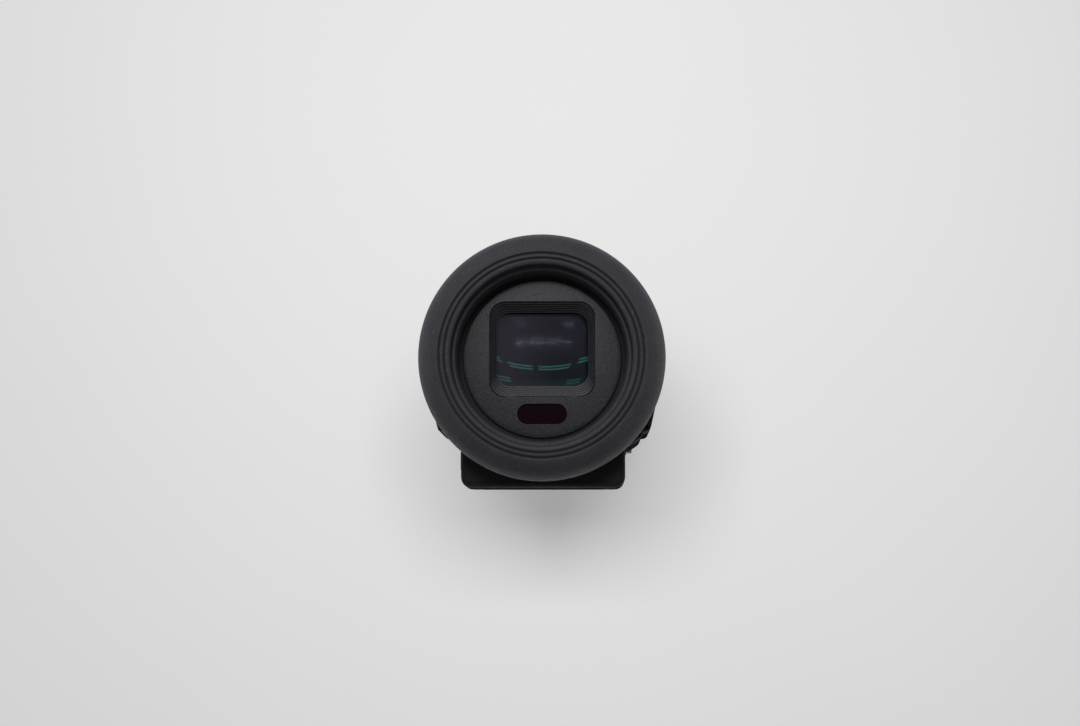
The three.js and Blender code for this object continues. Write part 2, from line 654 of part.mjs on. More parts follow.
// A closed ring seen in section, from the rim round the soft crest to the mouth and back along the neck
function buildEyecup() {
  const rimThick = 0.8;
  const neckOuter = 13.6;
  const neckEnd = -19.4;
  const groove = (radius, half, face, depth) =>
    [[radius + half, face], [radius, face + depth], [radius - half, face]];
  const profile = [
    [CUP_R, CUP_EDGE + rimThick],
    [CUP_R, CUP_EDGE],
    [CUP_R - 0.25, CUP_EDGE - 0.8],
    [CUP_R - 0.75, CUP_EDGE - 1.6],
    [CUP_R - 1.5, CUP_EDGE - 2.35],
    [13.15, CUP_CREST + 0.3],
    ...groove(12.78, 0.12, CUP_CREST + 0.2, 0.35),
    [12.45, CUP_CREST],
    ...groove(12.16, 0.12, CUP_CREST + 0.1, 0.35),
    [11.75, CUP_CREST],
    [11.4, CUP_CREST + 0.15],
    [11.3, CUP_CREST + 1.9],
    [10.9, CUP_CREST + 1.85],
    [CUP_MOUTH_R + 0.1, CUP_CREST + 2.1],
    [CUP_MOUTH_R, CUP_CREST + 2.4],
    [CUP_MOUTH_R, SLEEVE_REAR - FIT],
    [SLEEVE_R + FIT, SLEEVE_REAR - FIT],
    [SLEEVE_R + FIT, neckEnd],
    [neckOuter, neckEnd],
    [neckOuter, CUP_EDGE + 2],
    [neckOuter + 0.6, CUP_EDGE + 1.1],
  ];
  piece(head, 'eyecup', turned(profile, 40), 'rubber');
}

function buildPanel() {
  const disc = turned([[0, PANEL_FACE], [PANEL_R - 0.3, PANEL_FACE], [PANEL_R, PANEL_FACE + 0.3],
    [PANEL_R, PANEL_BACK], [0, PANEL_BACK]]);
  const funnel = prism('y', windowed(roundedRect, FUNNEL), PANEL_BACK - 0.2, FUNNEL_FRONT);
  const steps = 4;
  const recess = Array.from({ length: steps }, (_, i) => {
    const share = i / steps;
    const size = {
      width: THREE.MathUtils.lerp(RECESS.width, GLASS.width, share),
      height: THREE.MathUtils.lerp(RECESS.height, GLASS.height, share),
      corner: THREE.MathUtils.lerp(RECESS.corner, GLASS.corner, share),
    };
    const floor = THREE.MathUtils.lerp(PANEL_FACE, RECESS_FLOOR, (i + 1) / steps);
    return prism('y', windowed(roundedRect, size), PANEL_FACE - 1, floor);
  });
  const aperture = prism('y', windowed(roundedRect, GLASS), -FAR, FAR);
  const seat = {
    width: LENS_SEAT.width + 2 * FIT,
    height: LENS_SEAT.height + 2 * FIT,
    corner: LENS_SEAT.corner + FIT,
  };
  const pocket = prism('y', windowed(roundedRect, seat), RECESS_FLOOR + 0.4, FAR);
  const sensorOutline = stadium(SENSOR.z, SENSOR.width + 2 * FIT, SENSOR.height + 2 * FIT);
  const sensorHole = prism('y', sensorOutline, -FAR, FAR);
  piece(head, 'eyepiece_panel', cut(join(disc, funnel), ...recess, aperture, pocket, sensorHole), 'panel');

  const filter = prism('y', stadium(SENSOR.z, SENSOR.width, SENSOR.height), PANEL_FACE + 0.12, PANEL_BACK);
  piece(head, 'sensor_window', filter, 'filter');
}

// A lens between two spherical faces, turned about the optical axis; sag is how far each face bulges
function lens(radius, rear, front, rearSag, frontSag, steps = 6) {
  const face = (edge, sag, sign) => Array.from({ length: steps + 1 }, (_, i) => {
    const r = (radius * i) / steps;
    return [r, edge + sign * sag * (1 - (r / radius) ** 2)];
  });
  return turned([...face(rear, rearSag, -1), ...face(front, frontSag, 1).reverse()], 24);
}

function buildEyeLens() {
  const corner = Math.hypot(LENS_SEAT.width, LENS_SEAT.height) / 2;
  const apexSag = 1;
  const rearEdge = RECESS_FLOOR + 0.1 + apexSag;
  const blank = lens(corner, rearEdge, -18.6, apexSag, 0.1, 4).translate([0, 0, WINDOW_Z]);
  const edge = prism('y', windowed(roundedRect, LENS_SEAT), -FAR, FAR);
  piece(head, 'eye_lens', blank.intersect(edge), 'glass');
}

function buildFrame() {
  const plateRear = -19.3;
  const rimFront = -17.3;
  const sleeve = turned([[0, SLEEVE_REAR], [SLEEVE_R - 0.3, SLEEVE_REAR], [SLEEVE_R, SLEEVE_REAR + 0.3],
    [SLEEVE_R, plateRear + 0.2], [0, plateRear + 0.2]]);
  const plateOutline = headOutline(REAR_R - 0.4, HEAD_FLAT + 0.3, { sideX: SIDE_FLAT - 0.3 });
  const plate = prism('y', plateOutline, plateRear, BARREL_REAR);
  const inset = WALL + FIT;
  const rim = prism('y', headOutline(REAR_R - inset, HEAD_FLAT + inset, { sideX: SIDE_FLAT - inset }),
    BARREL_REAR - 0.2, rimFront);
  const opening = {
    width: FUNNEL.width + 2 * FIT,
    height: FUNNEL.height + 2 * FIT,
    corner: FUNNEL.corner + FIT,
  };
  const aperture = prism('y', windowed(roundedRect, opening), -FAR, FAR);
  const sensorPocket = block(-5, 5, SLEEVE_REAR - 1, -19.5, -8.8, -6);
  const rodHoles = [-1, 1].map((side) => rod('y', side * ROD_X, ROD_Z, ROD_R + FIT, ROD_REAR - FIT, 0));
  piece(head, 'eyepiece_frame', cut(join(sleeve, plate, rim), aperture, sensorPocket, ...rodHoles), 'casing');

  piece(head, 'sensor_board', block(-4.6, 4.6, -20.1, -19.6, -8.6, -6.2), 'circuit');
  const partHalf = 0.8;
  for (const [name, x] of [['infrared_emitter', -1.9], ['infrared_receiver', 1.9]]) {
    const can = join(
      block(x - partHalf, x + partHalf, -20.8, -20.1, SENSOR.z - partHalf, SENSOR.z + partHalf),
      rod('y', x, SENSOR.z, 0.55, -21.2, -20.6, 12),
    );
    piece(head, name, can, 'chip');
  }
}

// ---- diopter drive and lens group ---------------------------------------------------------------

function buildDial() {
  const inner = SIDE_FLAT + 0.35;
  const outer = SIDE_FLAT + 1.5;
  const toothDepth = 0.3;
  const teeth = Array.from({ length: DIAL_TEETH * 4 }, (_, i) => {
    const radius = i % 4 < 2 ? DIAL_R : DIAL_R - toothDepth;
    const angle = (i / (DIAL_TEETH * 4)) * Math.PI * 2;
    return new THREE.Vector2(radius * Math.cos(angle), radius * Math.sin(angle));
  });
  const screwHead = { radius: 1.4, from: outer - 0.5 };
  const shankR = 0.4;
  const knob = cut(
    prism('x', outline(teeth), inner, outer),
    rod('x', 0, 0, SPINDLE_R + 0.05, 0, screwHead.from - 0.2),
    rod('x', 0, 0, shankR + FIT, 0, FAR, 12),
    rod('x', 0, 0, screwHead.radius + FIT, screwHead.from, FAR),
    block(outer - 0.2, FAR, -0.2, 0.2, 2, 3.4),
  );
  piece(dial, 'diopter_dial', knob, 'casing');

  const flangeOuter = SIDE_FLAT - WALL - PLAY;
  const flangeInner = flangeOuter - FLANGE_THICK;
  const shaft = join(
    rod('x', 0, 0, SPINDLE_R, flangeOuter - 0.1, screwHead.from - 0.3),
    rod('x', 0, 0, 2, flangeInner, flangeOuter, 20),
    rod('x', 0, THROW, CRANK_R, flangeInner - CRANK_LONG, flangeInner + 0.1, 12),
  );
  piece(dial, 'dial_shaft', cut(shaft, rod('x', 0, 0, shankR + FIT, flangeOuter, FAR, 12)), 'metal');

  const headDisc = rod('x', 0, 0, screwHead.radius, screwHead.from, outer - 0.05);
  const shank = rod('x', 0, 0, shankR, flangeOuter + 0.4, screwHead.from + 0.1, 12);
  const slots = [
    block(outer - 0.25, FAR, -0.9, 0.9, -0.2, 0.2),
    block(outer - 0.25, FAR, -0.2, 0.2, -0.9, 0.9),
  ];
  piece(dial, 'dial_screw', cut(join(headDisc, shank), ...slots), 'darkMetal');

  const washer = cut(
    rod('x', DIAL_Y, DIAL_Z, 3, SIDE_FLAT + 0.05, SIDE_FLAT + 0.25, 20),
    rod('x', DIAL_Y, DIAL_Z, 1.7, 0, FAR, 20),
  );
  piece(head, 'wave_washer', washer, 'metal');
}

// What is left of a round piece when it is cut flat above and below the optical axis
function flattened(manifold, half) {
  return manifold.intersect(block(-FAR, FAR, -FAR, FAR, -half, half));
}

function buildLensGroup() {
  const rearGlassY = -15.2;
  const frontGlassY = -10.4;
  const glassThick = 2.4;
  const tubeInner = LENS_R + FIT;
  const lip = 0.7;
  const hoop = 0.9;
  const ring = (from, to) => cut(
    flattened(rod('y', 0, 0, LENS_R, from, to, 24), LENS_HALF),
    flattened(rod('y', 0, 0, LENS_R - hoop, from - 1, to + 1, 24), LENS_HALF - hoop),
  );
  const lugs = [-1, 1].flatMap((side) => [
    rod('y', side * ROD_X, ROD_Z, 1.7, CARRIER_REAR + 1, CARRIER_FRONT - 1, 16),
    block(side > 0 ? 7.9 : -ROD_X, side > 0 ? ROD_X : -7.9, CARRIER_REAR + 1, CARRIER_FRONT - 1,
      ROD_Z - 1, ROD_Z + 1),
  ]);
  const crankInner = SIDE_FLAT - WALL - PLAY - FLANGE_THICK - CRANK_LONG;
  const drive = block(8.6, crankInner + 0.9, DIAL_Y - 2, DIAL_Y + 2, DIAL_Z - 3.2, DIAL_Z + 3.2);
  const slot = block(crankInner - PLAY, FAR, DIAL_Y - CRANK_R - PLAY, DIAL_Y + CRANK_R + PLAY,
    DIAL_Z - THROW - CRANK_R - PLAY, DIAL_Z + THROW + CRANK_R + PLAY);
  const bore = flattened(rod('y', 0, 0, tubeInner, CARRIER_REAR + lip, 0, 24), LENS_HALF + FIT);
  const view = flattened(rod('y', 0, 0, LENS_R - lip, -FAR, 0, 24), LENS_HALF - lip);
  const rodHoles = [-1, 1].map((side) => rod('y', side * ROD_X, ROD_Z, ROD_R + PLAY, -FAR, 0));
  const tube = flattened(rod('y', 0, 0, CARRIER_R, CARRIER_REAR, CARRIER_FRONT, 24), CARRIER_HALF);
  piece(head, 'lens_carrier', cut(join(tube, ...lugs, drive), slot, bore, view, ...rodHoles), 'darkMetal');

  const bulge = 0.6;
  const rearLens = lens(LENS_R, rearGlassY + bulge, rearGlassY + glassThick - bulge, bulge, bulge, 3);
  piece(head, 'rear_lens', flattened(rearLens, LENS_HALF), 'glass');
  const frontLens = lens(LENS_R, frontGlassY + bulge, frontGlassY + glassThick - bulge, bulge, bulge, 3);
  piece(head, 'front_lens', flattened(frontLens, LENS_HALF), 'glass');
  const atHoop = 0.45; // how far a lens face bulges where its hoop bears on it
  const spacerFrom = rearGlassY + glassThick - bulge + atHoop;
  piece(head, 'lens_spacer', ring(spacerFrom, frontGlassY + bulge - atHoop), 'darkMetal');
  const retainerFrom = frontGlassY + glassThick - bulge + atHoop;
  piece(head, 'lens_retainer', ring(retainerFrom, CARRIER_FRONT - 0.2), 'darkMetal');

  for (const [side, sideName] of SIDES)
    piece(head, `guide_rod_${sideName}`, rod('y', side * ROD_X, ROD_Z, ROD_R, ROD_REAR, 2.6, 12), 'metal');
}

// ---- display and electronics --------------------------------------------------------------------

function buildElectronics() {
  const display = { width: 14, height: 11 };
  const frameRear = 1.2;
  const frameFront = 3.2;
  const frameOutline = polygon([[-12.4, -6.6], [12.4, -6.6], [12.4, 4], [9.4, 8], [-9.4, 8], [-12.4, 4]]);
  const rodHoles = [-1, 1].map((side) => rod('y', side * ROD_X, ROD_Z, ROD_R + FIT, -FAR, FAR));
  const seat = prism('y', roundedRect(0, 0, display.width + 2 * FIT, display.height + 2 * FIT, 0.3, 2),
    frameRear + 0.5, FAR);
  const opening = prism('y', roundedRect(0, 0, display.width - 1, display.height - 1, 0.4, 2), -FAR, FAR);
  const frame = prism('y', frameOutline, frameRear, frameFront);
  piece(head, 'display_frame', cut(frame, seat, opening, ...rodHoles), 'casing');
  const slab = (width, height, from, to, z = 0, corner = 0.3) =>
    prism('y', roundedRect(0, z, width, height, corner, 2), from, to);
  piece(head, 'display', slab(display.width, display.height, frameRear + 0.55, frameFront - 0.3), 'glass');
  const lamp = slab(display.width - 0.4, display.height - 0.4, frameFront - 0.2, frameFront + 0.5);
  piece(head, 'backlight', lamp, 'panel');
  piece(head, 'heat_plate', slab(18, 13.6, 4.2, 4.8, 0, 1), 'metal');

  const boardRear = 5.6;
  const boardFront = 6.3;
  const imageChip = slab(7, 6, boardFront - 0.1, boardFront + 0.9, 3, 0.3);
  const board = cut(
    join(slab(20, 14.4, boardRear, boardFront, 2.4, 0.6), imageChip),
    ...[-1, 1].map((side) => rod('y', side * 8.4, 8.2, 0.7, 0, 20, 12)),
  );
  piece(head, 'main_board', board, 'circuit');

  const ribbon = 0.2;
  const high = NOSE_FLAT + 1.7;
  const drop = 10.9;
  const low = -8;
  const ribbonHalf = CHANNEL.half - PLAY;
  const path = polygon([[boardFront, high], [drop, high], [drop, low], [drop + ribbon, low],
    [drop + ribbon, high + ribbon], [boardFront, high + ribbon]]);
  piece(head, 'head_flex', prism('x', path, -ribbonHalf, ribbonHalf), 'flex');
}

buildBarrels();
buildNose();
buildEyecup();
buildPanel();
buildEyeLens();
buildFrame();
buildDial();
buildLensGroup();
buildElectronics();

export default group;
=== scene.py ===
import json
import math

import bmesh
import bpy
from mathutils import Matrix, Vector


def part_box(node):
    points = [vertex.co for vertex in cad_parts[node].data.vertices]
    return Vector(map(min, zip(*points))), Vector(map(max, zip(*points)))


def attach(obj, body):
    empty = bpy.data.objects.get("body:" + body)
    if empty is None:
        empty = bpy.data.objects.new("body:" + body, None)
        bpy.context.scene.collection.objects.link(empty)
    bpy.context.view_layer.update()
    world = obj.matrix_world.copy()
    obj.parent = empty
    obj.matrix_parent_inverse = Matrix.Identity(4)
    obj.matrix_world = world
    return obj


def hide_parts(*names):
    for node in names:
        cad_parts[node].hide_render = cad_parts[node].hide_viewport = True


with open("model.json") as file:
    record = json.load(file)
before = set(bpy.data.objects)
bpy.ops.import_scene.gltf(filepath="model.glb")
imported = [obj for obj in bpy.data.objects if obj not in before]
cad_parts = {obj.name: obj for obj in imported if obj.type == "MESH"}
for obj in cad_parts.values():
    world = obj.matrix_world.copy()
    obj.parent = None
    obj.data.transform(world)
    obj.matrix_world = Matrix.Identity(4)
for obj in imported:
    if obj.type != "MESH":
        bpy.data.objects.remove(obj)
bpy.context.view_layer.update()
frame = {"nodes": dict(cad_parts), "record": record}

MM = 0.001
SLOT_OF = {part["node"]: part["material_slot"] for part in frame["record"]["subparts"]}
BODY_OF = {node: body for body, nodes in frame["record"]["behaviour"]["bodies"].items() for node in nodes}


# ---- sizes taken from the frame -----------------------------------------------------------------

def node_box(node):
    """Lowest and highest corner of a CAD node, in millimetres."""
    low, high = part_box(node)
    return low / MM, high / MM


CUP_LOW, CUP_HIGH = node_box("eyecup")
PANEL_LOW, PANEL_HIGH = node_box("eyepiece_panel")
REAR_LOW, REAR_HIGH = node_box("rear_barrel")
FRONT_LOW, FRONT_HIGH = node_box("front_barrel")
NOSE_LOW, NOSE_HIGH = node_box("nose_cap")
BLOCK_LOW, BLOCK_HIGH = node_box("rear_block")
COVER_LOW, COVER_HIGH = node_box("block_cover")
DECK_LOW, DECK_HIGH = node_box("deck")
DIAL_LOW, DIAL_HIGH = node_box("diopter_dial")
LENS_LOW, LENS_HIGH = node_box("eye_lens")
SENSOR_LOW, SENSOR_HIGH = node_box("sensor_window")

AXIS_Z = (CUP_LOW.z + CUP_HIGH.z) / 2
CUP_R = (CUP_HIGH.x - CUP_LOW.x) / 2 + 0.07
CUP_EDGE_Y = CUP_LOW.y + 3.1
PANEL_R = (PANEL_HIGH.x - PANEL_LOW.x) / 2
PANEL_Y = PANEL_LOW.y
WINDOW_Z = (LENS_LOW.z + LENS_HIGH.z) / 2 - AXIS_Z


# ---- camera -------------------------------------------------------------------------------------

CAMERA_AZIMUTH = math.radians(1.0)
CAMERA_ELEVATION = math.radians(-5.3)
CAMERA_DISTANCE = 301.5
CAMERA_LENS = 80
AIM_LEFT = 0.226
AIM_BELOW = 0.741


def make_camera():
    data = bpy.data.cameras.new("camera")
    data.lens = CAMERA_LENS
    data.sensor_width = 36
    data.clip_start = 0.01
    data.clip_end = 20
    camera = bpy.data.objects.new("camera", data)
    bpy.context.scene.collection.objects.link(camera)
    away = Vector((
        math.sin(CAMERA_AZIMUTH) * math.cos(CAMERA_ELEVATION),
        -math.cos(CAMERA_AZIMUTH) * math.cos(CAMERA_ELEVATION),
        math.sin(CAMERA_ELEVATION),
    ))
    centre = Vector((0, CUP_EDGE_Y, AXIS_Z))
    aim = centre + Vector((-AIM_LEFT, 0, -AIM_BELOW))
    place = centre + away * CAMERA_DISTANCE
    camera.location = place * MM
    camera.rotation_euler = (aim - place).to_track_quat("-Z", "Y").to_euler()
    bpy.context.scene.camera = camera


# ---- mesh making --------------------------------------------------------------------------------

SMOOTH_BELOW = math.radians(32)


def rounded(corners, steps=4, closed=True):
    """Points of an outline given as (a, b, rounding): each corner is rounded with a short curve."""
    points = []
    count = len(corners)
    for i, (a, b, rounding) in enumerate(corners):
        corner = Vector((a, b))
        end = not closed and i in (0, count - 1)
        if rounding == 0 or end:
            points.append(corner)
            continue
        before = Vector(corners[i - 1][:2]) - corner
        after = Vector(corners[(i + 1) % count][:2]) - corner
        start = corner + before.normalized() * min(rounding, before.length / 2)
        stop = corner + after.normalized() * min(rounding, after.length / 2)
        for k in range(steps + 1):
            t = k / steps
            points.append(start * (1 - t) ** 2 + corner * 2 * t * (1 - t) + stop * t * t)
    return points


def finish_mesh(mesh_data, node, part="fine", material=None):
    """Turns a bmesh in millimetres into a piece that stands for a CAD node and rides on the same body.
    It takes the finish that the record names for the node, unless another is given."""
    bmesh.ops.remove_doubles(mesh_data, verts=mesh_data.verts, dist=1e-4)
    bmesh.ops.recalc_face_normals(mesh_data, faces=mesh_data.faces)
    name = node + "_" + part
    mesh = bpy.data.meshes.new(name)
    mesh_data.to_mesh(mesh)
    mesh_data.free()
    mesh.transform(Matrix.Scale(MM, 4))
    mesh.shade_smooth()
    mesh.set_sharp_from_angle(angle=SMOOTH_BELOW)
    mesh.materials.append(material or MATERIALS[SLOT_OF[node]])
    piece = bpy.data.objects.new(name, mesh)
    bpy.context.scene.collection.objects.link(piece)
    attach(piece, BODY_OF[node])
    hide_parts(node)
    return piece


def skin(loops, closed=False, caps=True):
    """A bmesh whose rows of points are joined with quads; caps close the two ends."""
    made = bmesh.new()
    rows = [[made.verts.new(p) for p in loop] for loop in loops]
    pairs = list(zip(rows, rows[1:]))
    if closed:
        pairs.append((rows[-1], rows[0]))
    count = len(rows[0])
    for a, b in pairs:
        for i in range(count):
            j = (i + 1) % count
            made.faces.new((a[i], a[j], b[j], b[i]))
    if caps and not closed:
        made.faces.new(rows[0])
        made.faces.new(list(reversed(rows[-1])))
    return made


def lathe(profile, steps=192):
    """Turns a closed profile of (radius, y) points about the optical axis."""
    return skin([circle_loop(y, AXIS_Z, radius, steps) for radius, y in profile], closed=True)


def rectangle_point(angle, width, height, corner):
    """Where a ray from the centre of a rounded rectangle leaves it."""
    dx, dz = math.sin(angle), math.cos(angle)
    half_w, half_h = width / 2, height / 2
    reach = min(half_w / abs(dx) if dx else 1e9, half_h / abs(dz) if dz else 1e9)
    x, z = abs(dx) * reach, abs(dz) * reach
    cx, cz = half_w - corner, half_h - corner
    if x > cx and z > cz:
        along = abs(dx) * cx + abs(dz) * cz
        reach = along + math.sqrt(max(0, along * along - cx * cx - cz * cz + corner * corner))
    return dx * reach, dz * reach


def rectangle_loop(y, centre_z, width, height, corner, count=256):
    angles = (2 * math.pi * i / count for i in range(count))
    spots = (rectangle_point(a, width, height, corner) for a in angles)
    return [Vector((x, y, centre_z + z)) for x, z in spots]


def circle_loop(y, centre_z, radius, count=256):
    angles = (2 * math.pi * i / count for i in range(count))
    return [Vector((radius * math.sin(a), y, centre_z + radius * math.cos(a))) for a in angles]


def extrusion(outline, axis, start, stop, edge=0.15, steps=3, wall=None):
    """A bmesh prism whose outline is drawn in the two axes left over, with both rims rounded by edge.
    It is solid, or a tube if wall is given."""
    place = {
        "x": lambda a, b, d: Vector((d, a, b)),
        "y": lambda a, b, d: Vector((a, d, b)),
        "z": lambda a, b, d: Vector((a, b, d)),
    }[axis]
    inwards = inset_directions(outline)
    rims = [(edge * (1 - math.sin(k / steps * math.pi / 2)), edge * (1 - math.cos(k / steps * math.pi / 2)))
            for k in range(steps + 1)]
    stations = [(start + depth, inset) for inset, depth in rims]
    stations += [(stop - depth, inset) for inset, depth in reversed(rims)]
    if wall:
        stations += [(stop, wall), (start, wall)]
    loops = [[place(*(p + n * inset), d) for p, n in zip(outline, inwards)] for d, inset in stations]
    return skin(loops, closed=bool(wall))


def box_outline(a0, a1, b0, b1):
    return [Vector((a0, b0)), Vector((a1, b0)), Vector((a1, b1)), Vector((a0, b1))]


def inset_directions(outline):
    """For each point of an outline, the direction that moves both of its sides in by one unit."""
    area = sum(a.cross(b) for a, b in zip(outline, outline[1:] + outline[:1]))
    turn = 1 if area > 0 else -1
    moves = []
    for i, point in enumerate(outline):
        before = (point - outline[i - 1]).normalized()
        after = (outline[(i + 1) % len(outline)] - point).normalized()
        normal_before = Vector((-before.y, before.x)) * turn
        normal_after = Vector((-after.y, after.x)) * turn
        total = normal_before + normal_after
        moves.append(total / max(0.3, 1 + normal_before.dot(normal_after)))
    return moves


def subtract(piece, *cutters):
    """Cuts bmeshes in millimetres out of a piece, and applies the result to its mesh."""
    for cutter in cutters:
        bmesh.ops.recalc_face_normals(cutter, faces=cutter.faces)
        mesh = bpy.data.meshes.new("cutter")
        cutter.to_mesh(mesh)
        cutter.free()
        mesh.transform(Matrix.Scale(MM, 4))
        tool = bpy.data.objects.new("cutter", mesh)
        bpy.context.scene.collection.objects.link(tool)
        modifier = piece.modifiers.new("cut", "BOOLEAN")
        modifier.operation = "DIFFERENCE"
        modifier.solver = "EXACT"
        modifier.object = tool
        bpy.context.view_layer.update()
        evaluated = piece.evaluated_get(bpy.context.evaluated_depsgraph_get())
        made = bpy.data.meshes.new_from_object(evaluated)
        piece.modifiers.clear()
        old = piece.data
        piece.data = made
        made.set_sharp_from_angle(angle=SMOOTH_BELOW)
        made.name = old.name
        bpy.data.objects.remove(tool)
        bpy.data.meshes.remove(old)
    return piece


def cylinder(axis, a, b, radius, start, stop, steps=48, edge=0.0):
    outline = [Vector((a + radius * math.cos(t), b + radius * math.sin(t)))
               for t in (2 * math.pi * i / steps for i in range(steps))]
    return extrusion(outline, axis, start, stop, edge=edge, steps=3 if edge else 1)


# ---- materials ----------------------------------------------------------------------------------

class Look:
    """A node material with a few short ways to add the nodes that every finish here needs."""

    def __init__(self, name, **settings):
        self.material = bpy.data.materials.new(name)
        self.material.use_nodes = True
        self.tree = self.material.node_tree
        self.shader = self.tree.nodes["Principled BSDF"]
        for socket, value in settings.items():
            self.shader.inputs[socket.replace("_", " ").title().replace("Ior", "IOR")].default_value = value
        self.place = self.tree.nodes.new("ShaderNodeTexCoord").outputs["Object"]

    def add(self, kind, **inputs):
        node = self.tree.nodes.new(kind)
        for socket, value in inputs.items():
            target = node.inputs[socket.replace("_", " ")]
            if isinstance(value, bpy.types.NodeSocket):
                self.tree.links.new(value, target)
            else:
                target.default_value = value
        return node

    def link(self, source, target):
        self.tree.links.new(source, target)

    def noise(self, size, detail=4, roughness=0.55, stretch=None):
        """Noise whose features are about size millimetres across, drawn out along stretch if given."""
        where = self.place
        if stretch is not None:
            where = self.add("ShaderNodeMapping", Vector=self.place, Scale=stretch).outputs["Vector"]
        node = self.add("ShaderNodeTexNoise", Vector=where, Scale=1 / (size * MM))
        node.inputs["Detail"].default_value = detail
        node.inputs["Roughness"].default_value = roughness
        return node.outputs["Fac"]

    def grains(self, size):
        """Rounded grains about size millimetres apart, as moulded texture has."""
        node = self.add("ShaderNodeTexVoronoi", Vector=self.place, Scale=1 / (size * MM))
        node.feature = "SMOOTH_F1"
        return node.outputs["Distance"]

    def ramp(self, value, stops):
        """stops are (place, colour or number)."""
        node = self.add("ShaderNodeValToRGB", Fac=value)
        elements = node.color_ramp.elements
        while len(elements) < len(stops):
            elements.new(0.5)
        for element, (where, colour) in zip(elements, stops):
            element.position = where
            element.color = (*colour, 1) if isinstance(colour, tuple) else (colour, colour, colour, 1)
        return node.outputs["Color"]

    def range(self, value, low, high):
        node = self.add("ShaderNodeMapRange", Value=value, To_Min=low, To_Max=high)
        return node.outputs["Result"]

    def mix(self, share, first, second):
        node = self.tree.nodes.new("ShaderNodeMix")
        node.data_type = "RGBA"
        sockets = [s for s in node.inputs if s.enabled]
        for socket, value in zip(sockets, (share, first, second)):
            if isinstance(value, bpy.types.NodeSocket):
                self.link(value, socket)
            elif isinstance(value, tuple):
                socket.default_value = (*value, 1)
            else:
                socket.default_value = value
        return next(s for s in node.outputs if s.enabled)

    def colour(self, value):
        self.link(value, self.shader.inputs["Base Color"])

    def roughness(self, value):
        self.link(value, self.shader.inputs["Roughness"])

    def bump(self, *layers):
        """Each layer is (height, depth in millimetres, strength)."""
        normal = None
        for height, depth, strength in layers:
            node = self.add("ShaderNodeBump", Height=height, Distance=depth * MM, Strength=strength)
            if normal is not None:
                self.link(normal, node.inputs["Normal"])
            normal = node.outputs["Normal"]
        self.link(normal, self.shader.inputs["Normal"])


def worn_edges(look, amount):
    """A mask of the convex edges, broken up by noise."""
    pointed = look.add("ShaderNodeNewGeometry").outputs["Pointiness"]
    edge = look.ramp(pointed, [(0.505, 0.0), (0.56, 1.0)])
    broken = look.range(look.noise(0.9), 0.2, 1.0)
    product = look.add("ShaderNodeMath")
    product.operation = "MULTIPLY"
    look.link(edge, product.inputs[0])
    look.link(broken, product.inputs[1])
    scaled = look.add("ShaderNodeMath")
    scaled.operation = "MULTIPLY"
    look.link(product.outputs["Value"], scaled.inputs[0])
    scaled.inputs[1].default_value = amount
    return scaled.outputs["Value"]


def make_rubber():
    """Matt moulded rubber: fine skin texture, faint mottling and a little settled dust."""
    look = Look("rubber", roughness=0.6, specular_ior_level=0.42)
    mottle = look.ramp(look.noise(3.5), [(0.35, (0.035, 0.036, 0.0445)), (0.65, (0.043, 0.044, 0.0535))])
    speckle = look.ramp(look.noise(0.26, detail=2), [(0.38, 0.0), (0.62, 0.45)])
    mottle = look.mix(speckle, mottle, (0.066, 0.067, 0.077))
    dust = look.ramp(look.noise(0.33, detail=2, roughness=0.4), [(0.71, 0.0), (0.74, 0.5)])
    look.colour(look.mix(dust, mottle, (0.16, 0.16, 0.155)))
    look.roughness(look.range(look.noise(1.1), 0.52, 0.72))
    look.bump((look.noise(0.09, detail=3), 0.012, 0.6), (look.noise(0.5), 0.01, 0.35))
    return look.material


def make_casing():
    """Black moulded casing with a fine spark-eroded grain and slightly polished edges."""
    look = Look("casing", roughness=0.6)
    base = look.ramp(look.noise(5), [(0.35, (0.0178, 0.0186, 0.0188)), (0.65, (0.0233, 0.0243, 0.0246))])
    look.colour(look.mix(worn_edges(look, 0.2), base, (0.04, 0.041, 0.043)))
    look.roughness(look.range(look.noise(0.6), 0.5, 0.68))
    grazing = look.add("ShaderNodeLayerWeight", Blend=0.5).outputs["Facing"]
    look.link(look.ramp(grazing, [(0.6, 0.18), (0.92, 0.0)]), look.shader.inputs["Specular IOR Level"])
    look.bump((look.grains(0.16), 0.014, 0.55), (look.noise(0.07, detail=2), 0.006, 0.4))
    return look.material


def make_panel():
    """The eyepiece panel: an evenly grained moulding with a soft sheen."""
    look = Look("panel", roughness=0.5, specular_ior_level=0.62)
    base = look.ramp(look.noise(4), [(0.35, (0.0105, 0.0105, 0.0155)), (0.65, (0.0135, 0.0135, 0.0195))])
    speckle = look.ramp(look.noise(0.24, detail=2), [(0.38, 0.0), (0.62, 1.0)])
    grained = look.mix(speckle, base, (0.035, 0.035, 0.047))
    look.colour(look.mix(worn_edges(look, 0.15), grained, (0.05, 0.051, 0.055)))
    look.roughness(look.range(look.noise(0.5), 0.44, 0.56))
    look.bump((look.grains(0.2), 0.02, 0.7), (look.noise(0.12, detail=3), 0.01, 0.5))
    return look.material


def make_metal(name, light, dark, rough, drawn):
    """Machined metal whose brushing is drawn out along one axis."""
    look = Look(name, metallic=1.0)
    brushing = look.noise(0.25, detail=5, stretch=drawn)
    look.colour(look.ramp(brushing, [(0.3, dark), (0.7, light)]))
    look.roughness(look.range(brushing, rough - 0.08, rough + 0.12))
    look.bump((brushing, 0.004, 0.5))
    return look.material


